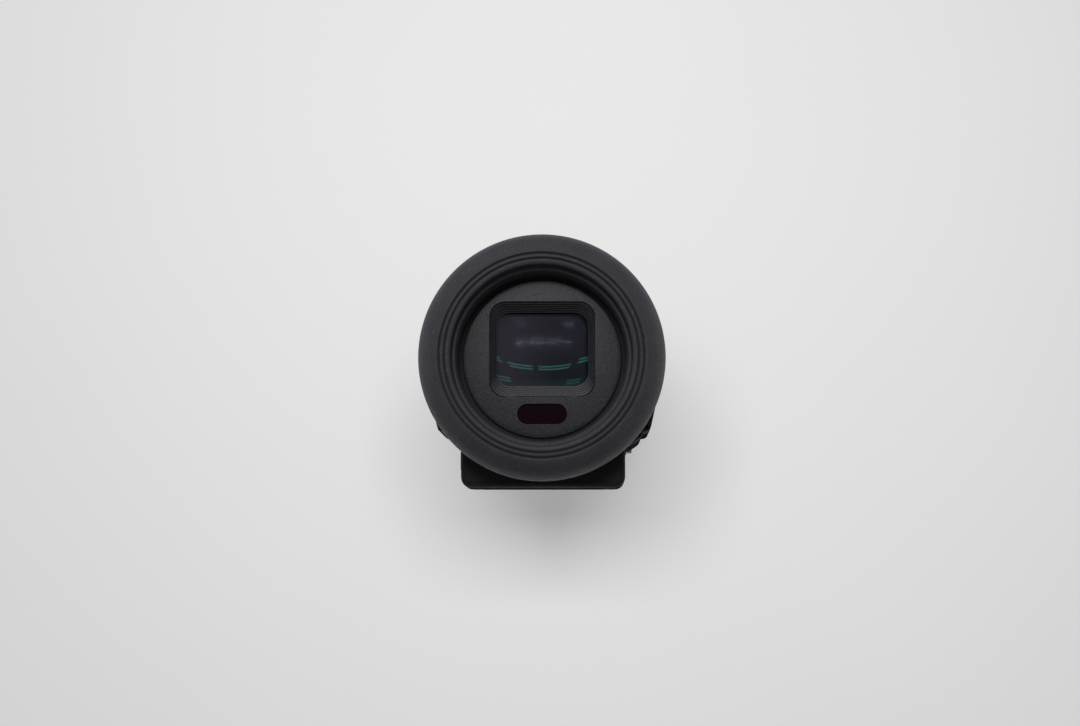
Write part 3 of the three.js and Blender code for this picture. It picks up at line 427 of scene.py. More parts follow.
def make_anodised():
    look = Look("anodised", metallic=0.0, specular_ior_level=0.6)
    base = look.ramp(look.noise(2.5), [(0.35, (0.012, 0.0122, 0.0135)), (0.65, (0.018, 0.0183, 0.02))])
    look.colour(look.mix(worn_edges(look, 0.35), base, (0.2, 0.2, 0.205)))
    look.roughness(look.range(look.noise(0.2, detail=5), 0.3, 0.45))
    look.bump((look.noise(0.06), 0.004, 0.4))
    return look.material


def make_filter():
    """Infrared-passing window: nearly black, deep red where light gets in, softly glossy."""
    look = Look("filter", specular_ior_level=0.1)
    look.colour(look.ramp(look.noise(1.8), [
        (0.3, (0.0085, 0.0012, 0.0065)),
        (0.7, (0.013, 0.002, 0.0095)),
    ]))
    look.roughness(look.range(look.noise(0.4), 0.1, 0.15))
    look.bump((look.noise(0.3), 0.002, 0.3))
    return look.material


def make_moulded(name, low, high, rough):
    """Plain moulded or laminated part: mottled colour, fine grain."""
    look = Look(name, specular_ior_level=0.45)
    look.colour(look.ramp(look.noise(1.2), [(0.3, low), (0.7, high)]))
    look.roughness(look.range(look.noise(0.3), rough - 0.07, rough + 0.1))
    look.bump((look.noise(0.08), 0.006, 0.45))
    return look.material


def make_circuit():
    """Solder mask over copper: green with paler tracks running both ways."""
    look = Look("circuit", specular_ior_level=0.5)
    tracks = look.add("ShaderNodeTexBrick", Vector=look.place, Scale=1 / (6 * MM))
    tracks.inputs["Color1"].default_value = (0.01, 0.09, 0.035, 1)
    tracks.inputs["Color2"].default_value = (0.014, 0.12, 0.045, 1)
    tracks.inputs["Mortar"].default_value = (0.03, 0.2, 0.075, 1)
    look.colour(tracks.outputs["Color"])
    look.roughness(look.range(look.noise(0.5), 0.25, 0.4))
    look.bump((tracks.outputs["Fac"], 0.02, 0.4))
    return look.material


def make_coated_glass(name, tint, gloss, clear):
    """A coated lens face: clear to what is behind it, with a faint mirror in its own colour."""
    look = Look(name)
    tree = look.tree
    tree.nodes.remove(look.shader)
    output = next(n for n in tree.nodes if n.type == "OUTPUT_MATERIAL")
    through = look.add("ShaderNodeBsdfTransparent", Color=(*clear, 1))
    polish = look.range(look.noise(1.5), 0.11, 0.125)
    mirror = look.add("ShaderNodeBsdfGlossy", Color=(*tint, 1), Roughness=polish)
    ripple = look.noise(4.0, detail=0)
    smear = look.add("ShaderNodeBump", Height=ripple, Distance=0.0002 * MM, Strength=0.05)
    look.link(smear.outputs["Normal"], mirror.inputs["Normal"])
    facing = look.add("ShaderNodeLayerWeight", Blend=0.12).outputs["Fresnel"]
    share = look.range(facing, gloss, min(1.0, gloss + 0.6))
    both = look.add("ShaderNodeMixShader", Fac=share)
    look.link(through.outputs["BSDF"], both.inputs[1])
    look.link(mirror.outputs["BSDF"], both.inputs[2])
    look.link(both.outputs["Shader"], output.inputs["Surface"])
    return look.material


MATERIALS = {
    "rubber": make_rubber(),
    "casing": make_casing(),
    "panel": make_panel(),
    "dark_metal": make_anodised(),
    "steel": make_metal("steel", (0.62, 0.62, 0.63), (0.42, 0.42, 0.44), 0.3, (1, 0.08, 1)),
    "gold": make_metal("gold", (0.83, 0.62, 0.28), (0.66, 0.46, 0.17), 0.24, (1, 0.1, 1)),
    "circuit": make_circuit(),
    "flex": make_moulded("flex", (0.3, 0.13, 0.03), (0.42, 0.19, 0.05), 0.35),
    "filter": make_filter(),
    "chip": make_moulded("chip", (0.008, 0.008, 0.009), (0.014, 0.014, 0.015), 0.45),
    "eye_glass": make_moulded("display_black", (0.004, 0.004, 0.007), (0.007, 0.007, 0.011), 0.2),
    "optical_glass": make_coated_glass("optical_glass", (0.5, 0.7, 1.0), 0.03, (0.85, 0.9, 0.95)),
}


# ---- eyepiece -----------------------------------------------------------------------------------

MOUTH_R = 10.6


def make_eyecup():
    """A turned rubber ring: soft outer shoulder, crest with two fine grooves, lip and short neck."""
    edge = CUP_EDGE_Y
    crest = CUP_LOW.y
    back = CUP_HIGH.y
    sleeve_r = 12.42
    sleeve_end = edge + 2.65
    neck_r = 13.55
    profile = rounded([
        (CUP_R, edge + 0.75, 0.12),
        (CUP_R, edge - 0.25, 0.5),
        (CUP_R - 0.55, edge - 1.85, 1.2),
        (CUP_R - 1.9, edge - 2.85, 0.9),
        (13.0, crest + 0.1, 0.1),
        (12.8, crest + 0.38, 0.06),
        (12.62, crest + 0.05, 0.1),
        (12.34, crest, 0.1),
        (12.17, crest + 0.32, 0.06),
        (12.0, crest + 0.05, 0.1),
        (11.75, crest, 0.2),
        (11.42, crest + 0.15, 0.15),
        (11.3, crest + 1.6, 0.1),
        (11.22, crest + 1.88, 0.08),
        (10.92, crest + 1.86, 0.12),
        (10.78, crest + 2.05, 0.08),
        (10.7, crest + 2.4, 0.05),
        (MOUTH_R, crest + 2.7, 0.15),
        (MOUTH_R, sleeve_end, 0.1),
        (sleeve_r, sleeve_end, 0.05),
        (sleeve_r, back, 0.05),
        (neck_r, back, 0.3),
        (neck_r, edge + 1.9, 0.6),
        (CUP_R - 1.3, edge + 1.1, 0.3),
    ])
    return finish_mesh(lathe(profile, steps=256), "eyecup")


# Window outlines at four depths: width, height, corner radius and how far the middle is lifted.
RECESS = (13.2, 12.0, 1.9, 0.0)
GLASS = (11.6, 9.4, 1.7, 0.15)
LENS_SEAT = (12.4, 10.2, 2.0, 0.15)
FUNNEL = (14.5, 13.2, 2.3, 0.0)
RECESS_FLOOR = PANEL_Y + 2.4
RECESS_STEPS = 5


def window_loop(y, size):
    width, height, corner, lift = size
    return rectangle_loop(y, AXIS_Z + WINDOW_Z + lift, width, height, corner)


def between(first, second, share):
    return tuple(a + (b - a) * share for a, b in zip(first, second))


def grown(size, margin):
    width, height, corner, lift = size
    return width + 2 * margin, height + 2 * margin, corner + margin, lift


PANEL_DOME_R = 56


def domed(loop, back=0.0):
    """Lays a loop on the panel's slightly domed face, or that far behind it."""
    def depth(p):
        return PANEL_Y + back + (p.x ** 2 + (p.z - AXIS_Z) ** 2) / (2 * PANEL_DOME_R)

    return [Vector((p.x, depth(p), p.z)) for p in loop]


def make_panel_piece():
    """The round panel, whose window goes in by small steps that keep stray light off the lens."""
    disc_back = PANEL_Y + 1.2
    rim = 0.2
    loops = [circle_loop(disc_back, AXIS_Z, PANEL_R)]
    for k in range(5):
        turn = k / 4 * math.pi / 2
        inset, depth = rim * (1 - math.cos(turn)), rim * (1 - math.sin(turn))
        loops.append(domed(circle_loop(0, AXIS_Z, PANEL_R - inset), depth))
    soft = 0.12
    outer = circle_loop(0, AXIS_Z, PANEL_R - rim)
    inner = window_loop(0, grown(RECESS, soft))
    for k in range(1, 9):
        loops.append(domed([a.lerp(b, k / 8) for a, b in zip(outer, inner)]))
    loops.append(domed(window_loop(0, grown(RECESS, soft / 2)), soft * 0.3))
    first = PANEL_Y + 0.4
    for k in range(RECESS_STEPS):
        size = between(RECESS, GLASS, k / RECESS_STEPS)
        smaller = between(RECESS, GLASS, (k + 1) / RECESS_STEPS)
        top = first + (RECESS_FLOOR - first) * k / RECESS_STEPS
        bottom = first + (RECESS_FLOOR - first) * (k + 1) / RECESS_STEPS
        loops.append(window_loop(top, size))
        loops.append(window_loop(bottom - 0.1, between(size, smaller, 0.32)))
        loops.append(window_loop(bottom - 0.05, between(size, smaller, 0.98)))
    loops.append(window_loop(RECESS_FLOOR + 0.06, GLASS))
    loops.append(window_loop(RECESS_FLOOR + 0.3, GLASS))
    loops.append(window_loop(RECESS_FLOOR + 0.3, LENS_SEAT))
    loops.append(window_loop(PANEL_HIGH.y, LENS_SEAT))
    loops.append(window_loop(PANEL_HIGH.y, FUNNEL))
    loops.append(window_loop(disc_back, FUNNEL))
    panel = finish_mesh(skin(loops, closed=True), "eyepiece_panel")
    hole = extrusion(sensor_outline(0.05), "y", PANEL_Y - 1, disc_back + 1, edge=0.0, steps=1)
    return subtract(panel, hole)


SENSOR_HALF = (SENSOR_HIGH.x - SENSOR_LOW.x) / 2
SENSOR_R = (SENSOR_HIGH.z - SENSOR_LOW.z) / 2
SENSOR_Z = (SENSOR_HIGH.z + SENSOR_LOW.z) / 2


def sensor_outline(grown=0.0, steps=20):
    """Outline of the eye sensor's window: a slot with round ends."""
    radius = SENSOR_R + grown
    points = []
    for side, start in ((1, -math.pi / 2), (-1, math.pi / 2)):
        for k in range(steps + 1):
            angle = start + math.pi * k / steps
            points.append(Vector((
                side * (SENSOR_HALF - SENSOR_R) + radius * math.cos(angle),
                SENSOR_Z + radius * math.sin(angle),
            )))
    return points


def make_sensor_window():
    sunk = 0.55
    mesh = extrusion(sensor_outline(), "y", PANEL_Y + sunk, SENSOR_HIGH.y, edge=0.05, steps=1)
    return finish_mesh(mesh, "sensor_window")


LENS_APEX_Y = LENS_LOW.y
OUTER_FACE_R = 30.85
INNER_FACE_DEEP = 1.6
INNER_FACE_RX = 62.0
INNER_FACE_RZ = 23.8
INNER_FACE_BOW = 0.03
INNER_FACE_LIFT = 1.1
GLASS_EDGE = (12.1, 9.6, 1.8)


def lens_loops(depth, rings=24):
    """Rings of a lens face: depth gives y at each point (x, z) measured from the optical axis."""
    loops = []
    for k in range(rings + 1):
        size = tuple(v * max(k, 0.02) / rings for v in GLASS_EDGE)
        loops.append([Vector((p.x, depth(p.x, p.z - AXIS_Z), p.z))
                      for p in rectangle_loop(0, AXIS_Z + WINDOW_Z, *size, count=224)])
    return loops


def make_eye_lens():
    """The outer lens face is a dome; behind it lies the second face, which is hollow."""
    def dome(x, z):
        return LENS_APEX_Y + OUTER_FACE_R - math.sqrt(OUTER_FACE_R ** 2 - x * x - z * z)

    def hollow(x, z):
        across = x * x / (2 * INNER_FACE_RX)
        upward = (z - INNER_FACE_LIFT - INNER_FACE_BOW * x * x) ** 2 / (2 * INNER_FACE_RZ)
        return LENS_APEX_Y + INNER_FACE_DEEP - across - upward

    finish_mesh(skin(lens_loops(dome), caps=False), "eye_lens", "first_face", make_first_face())
    finish_mesh(skin(lens_loops(hollow), caps=False), "eye_lens", "second_face", make_second_face())


def make_first_face():
    return make_coated_glass("first_face", (0.6, 0.76, 1.0), 0.027, (0.86, 0.84, 0.88))


def make_second_face():
    """A sheet painted with the eyepiece's dark depth: painted shade and painted coloured reflections,
    purple above and greenish below, and painted light towards the left, behind a green coating.
    """
    look = Look("second_face", specular_ior_level=0.42)
    spot = look.add("ShaderNodeSeparateXYZ", Vector=look.place).outputs
    middle = (AXIS_Z + WINDOW_Z) * MM
    half = 4.6 * MM
    height = look.add("ShaderNodeMapRange", Value=spot["Z"], From_Min=middle - half, From_Max=middle + half)
    # Painted shade and painted reflection by height: greenish at the bottom, a dark band low down, purple
    # above.
    depth = look.ramp(height.outputs["Result"], [
        (0.0, (0.034, 0.052, 0.056)),
        (0.14, (0.015, 0.018, 0.024)),
        (0.5, (0.033, 0.024, 0.036)),
        (1.0, (0.041, 0.036, 0.048)),
    ])
    # Painted light: the second face is made lighter towards the left, as if lit from the right.
    across = look.add("ShaderNodeMapRange", Value=spot["X"], From_Min=-half, From_Max=half)
    painted_light_left = look.ramp(across.outputs["Result"], [(0.0, 0.6), (0.35, 0.3), (0.65, 0.0)])
    look.colour(look.mix(painted_light_left, depth, (0.085, 0.066, 0.09)))
    look.shader.inputs["Specular Tint"].default_value = (0.12, 0.75, 0.5, 1)
    look.roughness(look.range(look.noise(1.5), 0.012, 0.03))
    look.bump((look.noise(4.0, detail=0), 0.0002, 0.05))
    return look.material


# ---- head casing --------------------------------------------------------------------------------

WALL = 1.4
SIDE_FLAT = 13.7
SHAFT_HOLE_R = 1.3


def head_outline(radius, flat, side=None, lean=None, steps=288):
    """Outline of the head seen from behind: round, flat underneath, and flat on the right if side is given.
    If lean is given, the sides leave the circle that far below the middle and run straight to the flat.
    Where two of these meet, the corner is eased."""
    sharpness = 50
    points = []
    for i in range(steps):
        angle = 2 * math.pi * i / steps
        dx, dz = math.sin(angle), math.cos(angle)
        below = math.asin(-dz)
        round_reach = radius
        if lean is not None and below > lean:
            round_reach = radius / max(0.05, math.cos(below - lean))
        reaches = [round_reach]
        if dz < 0:
            reaches.append(flat / -dz)
        if side is not None and dx > 0:
            reaches.append(side / dx)
        nearest = min(reaches)
        reach = nearest * sum((nearest / r) ** sharpness for r in reaches) ** (-1 / sharpness)
        points.append(Vector((dx * reach, AXIS_Z + dz * reach)))
    return points


def side_lean(radius, flat, foot_half):
    """The angle below the middle at which the sides leave the circle, to reach the flat at foot_half."""
    return math.atan2(flat, foot_half) - math.acos(radius / math.hypot(flat, foot_half))


FOOT_HALF = 14.0


def make_barrels():
    rear_r = REAR_HIGH.z - AXIS_Z
    front_r = FRONT_HIGH.z - AXIS_Z
    flat = AXIS_Z - REAR_LOW.z
    rear = extrusion(head_outline(rear_r, flat, SIDE_FLAT), "y", REAR_LOW.y, REAR_HIGH.y,
                     edge=0.3, steps=4, wall=WALL)
    rear = finish_mesh(rear, "rear_barrel")
    dial_y, dial_z = dial_centre()
    subtract(rear, cylinder("x", dial_y, dial_z, SHAFT_HOLE_R, SIDE_FLAT - 3, SIDE_FLAT + 2))
    lean = side_lean(front_r, flat, FOOT_HALF)
    front = extrusion(head_outline(front_r, flat, lean=lean), "y", FRONT_LOW.y, FRONT_HIGH.y,
                      edge=0.3, steps=4, wall=WALL)
    finish_mesh(front, "front_barrel")
    lid_half = 12.2
    lid_top = NOSE_LOW.z + 1.1
    lid_low = AXIS_Z - flat + 0.6
    lid_thick = 1.3
    lid = extrusion(box_outline(-lid_half, lid_half, lid_low, lid_top), "y",
                    FRONT_HIGH.y - lid_thick, FRONT_HIGH.y, edge=0.1)
    finish_mesh(lid, "front_barrel", "lid")


def dial_centre():
    return (DIAL_LOW.y + DIAL_HIGH.y) / 2, (DIAL_LOW.z + DIAL_HIGH.z) / 2


NOSE_EASE = 3.0
NOSE_SCREW_SPOTS = [(-12.2, 12.6), (12.2, 12.6)]


def make_nose():
    """The front barrel's outline carried forward over a higher floor, then eased to a flat face."""
    radius = NOSE_HIGH.z - AXIS_Z
    flat = AXIS_Z - NOSE_LOW.z
    lean = side_lean(FRONT_HIGH.z - AXIS_Z, AXIS_Z - FRONT_LOW.z, FOOT_HALF)
    start, stop = NOSE_LOW.y, NOSE_HIGH.y
    stations = [(start, 0.25), (start + 0.08, 0.08), (start + 0.25, 0)]
    steps = 14
    for k in range(steps + 1):
        turn = k / steps * math.pi / 2
        stations.append((stop - NOSE_EASE + NOSE_EASE * math.sin(turn), NOSE_EASE * (1 - math.cos(turn))))
    dish = 0.12
    dished = stop + dish * 2
    stations += [(stop, NOSE_EASE + 2.6), (dished, NOSE_EASE + 3.0), (dished, NOSE_EASE + 3.4)]
    stations = [(min(y, stop), inset) for y, inset in stations]
    loops = []
    for y, inset in stations:
        floor_inset = min(inset, 0.5)
        outline = head_outline(radius - inset, flat - floor_inset, lean=lean)
        loops.append([Vector((p.x, y, p.y)) for p in outline])
    nose = finish_mesh(skin(loops), "nose_cap")
    wells = [cylinder("z", x, y, 1.12, NOSE_LOW.z - 1, NOSE_LOW.z + 0.7) for x, y in NOSE_SCREW_SPOTS]
    return subtract(nose, *wells)


PIN_HOLE_R = 1.3


def make_tilt_bracket():
    low, high = node_box("tilt_bracket")
    knuckle_r = (high.y - low.y) / 2
    y, z = (low.y + high.y) / 2, low.z + knuckle_r
    steps = 32
    outline = [Vector((y + knuckle_r * math.cos(a), z + knuckle_r * math.sin(a)))
               for a in (math.pi + math.pi * i / steps for i in range(steps + 1))]
    outline += [Vector((high.y, high.z)), Vector((low.y, high.z))]
    mesh = extrusion(outline, "x", low.x, high.x, edge=0.25)
    bracket = finish_mesh(mesh, "tilt_bracket")
    return subtract(bracket, cylinder("x", y, z, PIN_HOLE_R, low.x - 1, high.x + 1))


# ---- diopter dial -------------------------------------------------------------------------------

DIAL_TEETH = 20


def make_dial():
    """A small knurled wheel with a sunk screw seat and an engraved index line."""
    y, z = dial_centre()
    radius = (DIAL_HIGH.z - DIAL_LOW.z) / 2
    tooth = 0.3
    steps = DIAL_TEETH * 10
    outline = []
    for i in range(steps):
        angle = 2 * math.pi * i / steps
        wave = 0.5 - 0.5 * math.cos(DIAL_TEETH * angle)
        r = radius - tooth * wave ** 2
        outline.append(Vector((y + r * math.cos(angle), z + r * math.sin(angle))))
    mesh = extrusion(outline, "x", DIAL_LOW.x, DIAL_HIGH.x, edge=0.2, steps=3)
    dial = finish_mesh(mesh, "diopter_dial")
    top = DIAL_HIGH.x
    screw_seat = cylinder("x", y, z, 1.5, top - 0.5, top + 1)
    screw_hole = cylinder("x", y, z, 1.02, DIAL_LOW.x - 1, top - 0.3)
    index_line = extrusion(box_outline(y + 2.0, y + 3.4, z - 0.18, z + 0.18), "x", top - 0.2, top + 1,
                           edge=0.0, steps=1)
    return subtract(dial, screw_seat, screw_hole, index_line)


# ---- base ---------------------------------------------------------------------------------------

def keep_above(mesh_data, z, above=True):
    """Cuts a closed bmesh across at height z and keeps one side, closed again."""
    everything = list(mesh_data.verts) + list(mesh_data.edges) + list(mesh_data.faces)
    made = bmesh.ops.bisect_plane(mesh_data, geom=everything, plane_co=(0, 0, z), plane_no=(0, 0, 1),
                                  clear_inner=above, clear_outer=not above)
    edges = [e for e in made["geom_cut"] if isinstance(e, bmesh.types.BMEdge)]
    bmesh.ops.holes_fill(mesh_data, edges=edges)
    return mesh_data


# Openings in the base, as left, right, low and high: for the lock lever, and for the flex under the deck.
LEVER_SLOT = (-2.4, 4.0, 2.4, 3.4)
FLEX_CHANNEL = (-3.2, 3.2, 4.3, 4.9)


def block_shape():
    corner = 1.5
    low, high = COVER_LOW, BLOCK_HIGH
    outline = rounded([(low.x, low.z, corner), (high.x, low.z, corner),
                       (high.x, high.z, 0.3), (low.x, high.z, 0.3)],
                      steps=10)
    return extrusion(outline, "y", BLOCK_LOW.y, BLOCK_HIGH.y, edge=0.65, steps=6)


def make_block():
    """The rear block and its bottom cover, with eased edges and a hairline seam between them."""
    low, high = BLOCK_LOW, BLOCK_HIGH
    block = finish_mesh(keep_above(block_shape(), low.z), "rear_block")
    wall = 1.2
    room = extrusion(box_outline(low.x + wall, high.x - wall, low.z - 1, high.z - 0.6), "y",
                     low.y + wall, high.y - wall, edge=0.0, steps=1)
    button_low, button_high = node_box("lock_button")
    y, z = (button_low.y + button_high.y) / 2, (button_low.z + button_high.z) / 2
    gap = 0.15
    half, tall = 1.8 + gap, 1.2 + gap
    ease = 0.6
    hole = rounded([(y - half, z - tall, ease), (y + half, z - tall, ease), (y + half, z + tall, ease),
                    (y - half, z + tall, ease)])
    subtract(
        block,
        room,
        extrusion(hole, "x", low.x - 1, low.x + wall + 0.5, edge=0.0, steps=1),
        extrusion(box_outline(*LEVER_SLOT), "y", high.y - 2, high.y + 1, edge=0.0, steps=1),
    )
    cover = finish_mesh(keep_above(block_shape(), COVER_HIGH.z, above=False), "block_cover")
    subtract(cover, *(cylinder("z", x, y, 1.02, COVER_LOW.z - 1, COVER_LOW.z + 0.52)
                      for x, y, _ in screw_spots("block_screw")))


def make_deck():
    low, high = DECK_LOW, DECK_HIGH
    half = high.x
    section = rounded([
        (0.9 - half, low.z + 0.9, 0.5),
        (2.7 - half, low.z, 0.6),
        (half - 2.7, low.z, 0.6),
        (half - 0.9, low.z + 0.9, 0.5),
        (half - 0.25, high.z - 0.5, 0.3),
        (half - 0.05, high.z, 0.4),
        (0.05 - half, high.z, 0.4),
        (0.25 - half, high.z - 0.5, 0.3),
    ], steps=8)
    deck = finish_mesh(extrusion(section, "y", low.y, high.y, edge=0.35, steps=4), "deck")
    pin_low, pin_high = node_box("lock_pin")
    pin_y = (pin_low.y + pin_high.y) / 2
    channel = extrusion(box_outline(*FLEX_CHANNEL), "y", low.y - 1, high.y + 1, edge=0.0, steps=1)
    return subtract(deck, cylinder("z", 0, pin_y, 1.5, low.z - 1, 4.35), channel)


ARM_R = 2.4
CAP_SLOT_DEEP = 0.35


def make_hinge_arms():
    """Each arm is rounded about the hinge's axis and holds a slotted pin cap."""
    for side in ("left", "right"):
        low, high = node_box("hinge_arm_" + side)
        y, z = high.y - ARM_R, high.z - ARM_R
        root = DECK_HIGH.y
        steps = 32
        top = math.radians(122)
        points = [Vector((root, low.z))]
        angles = (-math.pi / 2 + (math.pi / 2 + top) * i / steps for i in range(steps + 1))
        points += [Vector((y + ARM_R * math.cos(a), z + ARM_R * math.sin(a))) for a in angles]
        points += [Vector((root, DECK_HIGH.z))]
        finish_mesh(extrusion(points, "x", low.x, high.x, edge=0.22), "hinge_arm_" + side)

        low, high = node_box("hinge_cap_" + side)
        radius = (high.y - low.y) / 2
        y, z = (low.y + high.y) / 2, (low.z + high.z) / 2
        cap = finish_mesh(cylinder("x", y, z, radius, low.x, high.x, edge=0.15), "hinge_cap_" + side)
        start, stop = low.x - 1, low.x + CAP_SLOT_DEEP
        if side == "right":
            start, stop = high.x - CAP_SLOT_DEEP, high.x + 1
        slot = box_outline(y - 1.5, y + 1.5, z - 0.25, z + 0.25)
        subtract(cap, extrusion(slot, "x", start, stop, edge=0.0, steps=1))


def make_foot():
    """The plate that slides into the shoe: brushed steel with four sunk screws and the lock pin's hole."""
    low, high = node_box("shoe_foot")
    lead = 1.6
    plate = rounded([
        (low.x, low.y, 0.3),
        (high.x, low.y, 0.3),
        (high.x, high.y - lead, 0.4),
        (high.x - lead, high.y, 0.4),
        (low.x + lead, high.y, 0.4),
        (low.x, high.y - lead, 0.4),
    ])
    foot = finish_mesh(extrusion(plate, "z", low.z, high.z, edge=0.18), "shoe_foot")
    pin_low, pin_high = node_box("lock_pin")
    tongue_low, tongue_high = node_box("contact_tongue")
    gap = 0.1
    slot_low, slot_high = 0.3, 1.7
    slot = extrusion(box_outline(tongue_low.y - gap, high.y + 1, slot_low, slot_high), "x",
                     tongue_low.x - gap, tongue_high.x + gap, edge=0.0, steps=1)
    heads = [cylinder("z", x, y, 1.2, low.z - 1, low.z + 0.8) for x, y, _ in screw_spots("foot_screw")]
    pin_hole = cylinder("z", 0, (pin_low.y + pin_high.y) / 2, 1.2, low.z - 1, high.z + 1)
    return subtract(foot, pin_hole, slot, *heads)


def screw_spots(prefix):
    """Place (x, y, lowest z) of each CAD screw whose name starts with prefix."""
    spots = []
    for name in sorted(frame["nodes"]):
        if name.startswith(prefix):
            low, high = node_box(name)
            spots.append(((low.x + high.x) / 2, (low.y + high.y) / 2, low.z))
    return spots


def make_screws():
    """Small cross-head screws, all driven from below."""
    kinds = [("foot_screw", 1.1, 0.7), ("block_screw", 0.9, 0.5), ("nose_screw", 1.0, 0.6)]
    for prefix, radius, height in kinds:
        names = [n for n in sorted(frame["nodes"]) if n.startswith(prefix)]
        for name, (x, y, z) in zip(names, screw_spots(prefix)):
            head = cylinder("z", x, y, radius, z, z + height, edge=0.12)
            piece = finish_mesh(head, name)
            arm, half = radius * 0.62, radius * 0.15
            for wide, tall in ((arm, half), (half, arm)):
                slot = box_outline(x - wide, x + wide, y - tall, y + tall)
                subtract(piece, extrusion(slot, "z", z - 1, z + height * 0.6, edge=0.0, steps=1))


# ---- the CAD nodes that are shown as they are ---------------------------------------------------

def bevel(piece, width, segments=3):
    modifier = piece.modifiers.new("bevel", "BEVEL")
    modifier.width = width * MM
    modifier.segments = segments
    modifier.limit_method = "ANGLE"
    modifier.angle_limit = math.radians(40)
    modifier.harden_normals = True
    return modifier


def finish_cad_nodes():
    """Eases the edges of every CAD node and gives it the finish that the record names for it."""
    for name, node in frame["nodes"].items():
        node.data.materials.clear()
        node.data.materials.append(MATERIALS[SLOT_OF[name]])
        bevel(node, 0.06, segments=2)


# ---- stage and light ----------------------------------------------------------------------------

WALL_Y = 44
FLOOR_Z = BLOCK_LOW.z - 0.75
STAGE_HALF = 1200


def make_paper(name, shade, camera_only):
    """Pale matt paper, seen from its front side only, so that it never hides the object."""
    look = Look(name, roughness=0.9, specular_ior_level=0.1)
    look.colour(look.ramp(look.noise(90), [(0.3, (shade, shade, shade)), (0.7, (shade * 0.98,) * 3)]))
    look.bump((look.noise(0.4), 0.01, 0.1))
    tree = look.tree
    output = next(n for n in tree.nodes if n.type == "OUTPUT_MATERIAL")
    behind = look.add("ShaderNodeNewGeometry").outputs["Backfacing"]
    front = look.add("ShaderNodeMath")
    front.operation = "SUBTRACT"
    front.inputs[0].default_value = 1
    look.link(behind, front.inputs[1])
    share = front.outputs["Value"]
    if camera_only:
        seen = look.add("ShaderNodeMath")
        seen.operation = "MULTIPLY"
        look.link(share, seen.inputs[0])
        look.link(look.add("ShaderNodeLightPath").outputs["Is Camera Ray"], seen.inputs[1])
        share = seen.outputs["Value"]
    clear = look.add("ShaderNodeBsdfTransparent")
    both = look.add("ShaderNodeMixShader", Fac=share)
    look.link(clear.outputs["BSDF"], both.inputs[1])
    look.link(look.shader.outputs["BSDF"], both.inputs[2])
    look.link(both.outputs["Shader"], output.inputs["Surface"])
    return look.material


def make_sheet(name, corners, material):
    mesh_data = bmesh.new()
    mesh_data.faces.new([mesh_data.verts.new(Vector(c) * MM) for c in corners])
    bmesh.ops.subdivide_edges(mesh_data, edges=mesh_data.edges, cuts=3, use_grid_fill=True)
    mesh = bpy.data.meshes.new(name)
    mesh_data.to_mesh(mesh)
    mesh_data.free()
    mesh.materials.append(material)
    sheet = bpy.data.objects.new(name, mesh)
    bpy.context.scene.collection.objects.link(sheet)
    return sheet


def make_stage():
    half = STAGE_HALF
    make_sheet("floor", [(-half, -half, FLOOR_Z), (half, -half, FLOOR_Z), (half, half, FLOOR_Z),
                         (-half, half, FLOOR_Z)], make_paper("floor_paper", 0.82, True))
    make_sheet("backdrop", [(-half, WALL_Y, -half), (half, WALL_Y, -half), (half, WALL_Y, half),
                            (-half, WALL_Y, half)], make_paper("backdrop_paper", 0.82, False))


def make_light(name, place, aim, width, height, power, glossy=True, turn=0.0):
    """A soft box, in millimetres, turned to face the aim."""
    data = bpy.data.lights.new(name, "AREA")
    data.shape = "RECTANGLE"
    data.size = width * MM
    data.size_y = height * MM
    data.energy = power
    light = bpy.data.objects.new(name, data)
    bpy.context.scene.collection.objects.link(light)
    place = Vector(place)
    light.location = place * MM
    facing = (Vector(aim) - place).to_track_quat("-Z", "Y").to_matrix()
    light.rotation_euler = (facing @ Matrix.Rotation(turn, 3, "Z")).to_euler()
    light.visible_camera = False
    light.visible_glossy = glossy
    return light


def direction(azimuth, elevation):
    """Unit vector from the eyepiece: azimuth 0 is straight behind, positive to the right."""
    azimuth, elevation = math.radians(azimuth), math.radians(elevation)
    return Vector((math.sin(azimuth) * math.cos(elevation), -math.cos(azimuth) * math.cos(elevation),
                   math.sin(elevation)))


TUBE_DISTANCE = 600
TUBE_THICK = 9
TUBE_PITCH = 17
# Each row of lamps: elevation, brightness, and where each lamp starts and stops in azimuth.
TUBE_ROWS = [
    (14.9, 4.0, [(-14.7, -10.6), (-8.6, 0.0), (1.8, 8.4), (10.2, 13.5)]),
    (25.0, 2.6, [(10.5, 15.0)]),
    (25.5, 1.6, [(-15.0, -10.0)]),
]
TUBE_DROP = 1.4
ROW_HALF = 14.7

PAPER_KEY = 8.75
PAPER_FILL = 0.135
KEY = 4.2
TOP_SOFT = 1.6
SIDE_LEFT = 1.8
SIDE_RIGHT = 2.1
LENS_FILL = 2.4
SKY = 0.15


def link_light(light, names, only):
    """Lets a light reach only these objects, or all but these."""
    group = bpy.data.collections.new(light.name + "_reach")
    light.light_linking.receiver_collection = group
    for name in names:
        group.objects.link(bpy.data.objects[name])
    if not only:
        for entry in group.collection_objects:
            entry.light_linking.link_state = "EXCLUDE"


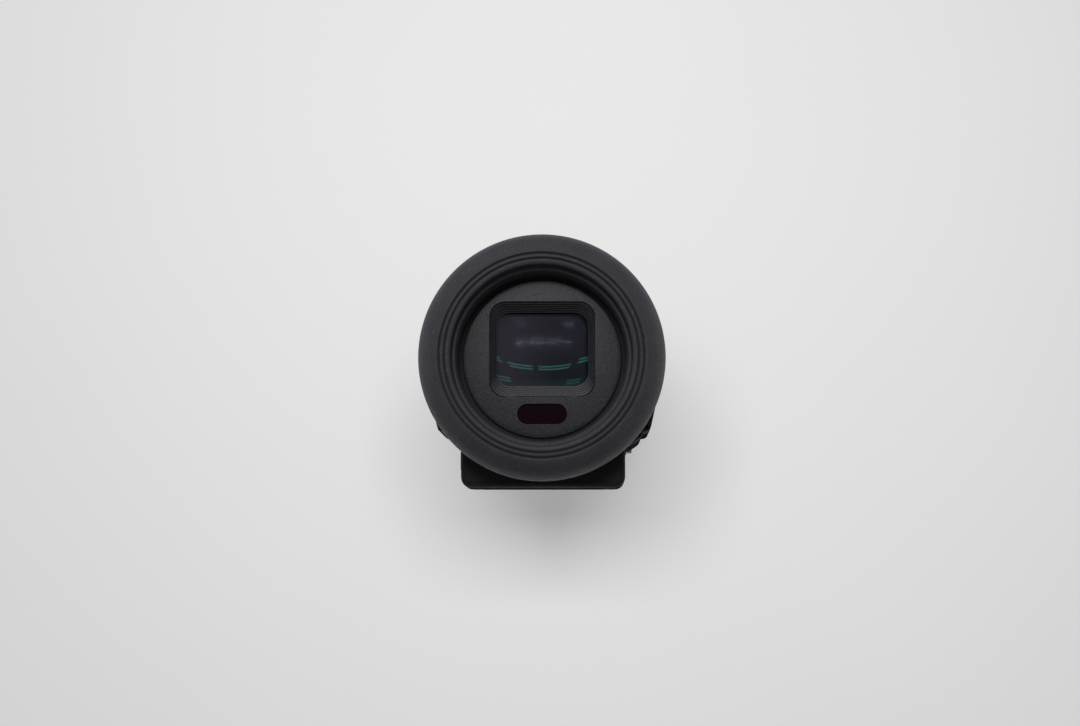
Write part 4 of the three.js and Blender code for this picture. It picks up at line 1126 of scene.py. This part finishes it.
def make_tubes(glass):
    """Rows of twin lamp tubes that mirror in the lens; each row sags towards its ends."""
    lens = Vector((0, LENS_APEX_Y, AXIS_Z))
    for r, (elevation, brightness, spans) in enumerate(TUBE_ROWS):
        for i, (start, stop) in enumerate(spans):
            azimuth = (start + stop) / 2
            drop = TUBE_DROP * (azimuth / ROW_HALF) ** 2
            slope = math.atan(2 * drop / azimuth)
            width = 2 * TUBE_DISTANCE * math.tan(math.radians((stop - start) / 2))
            power = brightness * math.pi * width * TUBE_THICK * MM * MM
            for side, name in ((-1, "lower"), (1, "upper")):
                place = lens + direction(azimuth, elevation - drop) * TUBE_DISTANCE
                place.z += side * TUBE_PITCH / 2
                tube = make_light(f"tube_{r + 1}_{i + 1}_{name}", place, lens, width, TUBE_THICK, power,
                                  turn=slope)
                link_light(tube, glass, only=True)


def make_lights():
    """The paper has its own lamps. Key, top and side lamps model the object, and a fill lights the lens."""
    glass = ["eye_lens_first_face", "eye_lens_second_face"]
    paper = ["floor", "backdrop"]
    middle = Vector((0, -5, AXIS_Z))

    paper_key = make_light("paper_key", middle + direction(-1, 7) * 1300, middle, 560, 280, PAPER_KEY)
    paper_fill = make_light("paper_fill", middle + direction(0, 25) * 144, middle, 60, 60, PAPER_FILL)
    paper_fill.data.use_shadow = False
    link_light(paper_key, paper, only=True)
    link_light(paper_fill, paper, only=True)

    key = make_light("key", middle + direction(-2, 17) * 1300, middle, 420, 260, KEY)
    top = make_light("top_soft", middle + direction(-24, 55) * 800, middle, 700, 420, TOP_SOFT)
    left = make_light("side_left", middle + direction(-95, 8) * 800, middle, 300, 420, SIDE_LEFT)
    right = make_light("side_right", middle + direction(95, 8) * 800, middle, 300, 420, SIDE_RIGHT)
    for lamp in (key, top):
        link_light(lamp, glass + paper, only=False)
    for lamp in (left, right):
        link_light(lamp, ["eyecup_fine"], only=True)

    lens_fill = make_light("lens_fill", middle + direction(12, 8) * 800, middle, 300, 300, LENS_FILL,
                           glossy=False)
    link_light(lens_fill, glass, only=True)
    make_tubes(glass)


def make_world(strength):
    world = bpy.data.worlds.new("studio")
    world.use_nodes = True
    background = world.node_tree.nodes["Background"]
    background.inputs["Color"].default_value = (1, 1, 1, 1)
    background.inputs["Strength"].default_value = strength
    bpy.context.scene.world = world


# ---- putting it together ------------------------------------------------------------------------

make_camera()
bpy.context.scene.view_settings.view_transform = "Standard"
finish_cad_nodes()
make_eyecup()
make_panel_piece()
make_sensor_window()
make_eye_lens()
make_barrels()
make_nose()
make_tilt_bracket()
make_dial()
make_block()
make_deck()
make_hinge_arms()
make_foot()
make_screws()
make_stage()
make_lights()
make_world(SKY)
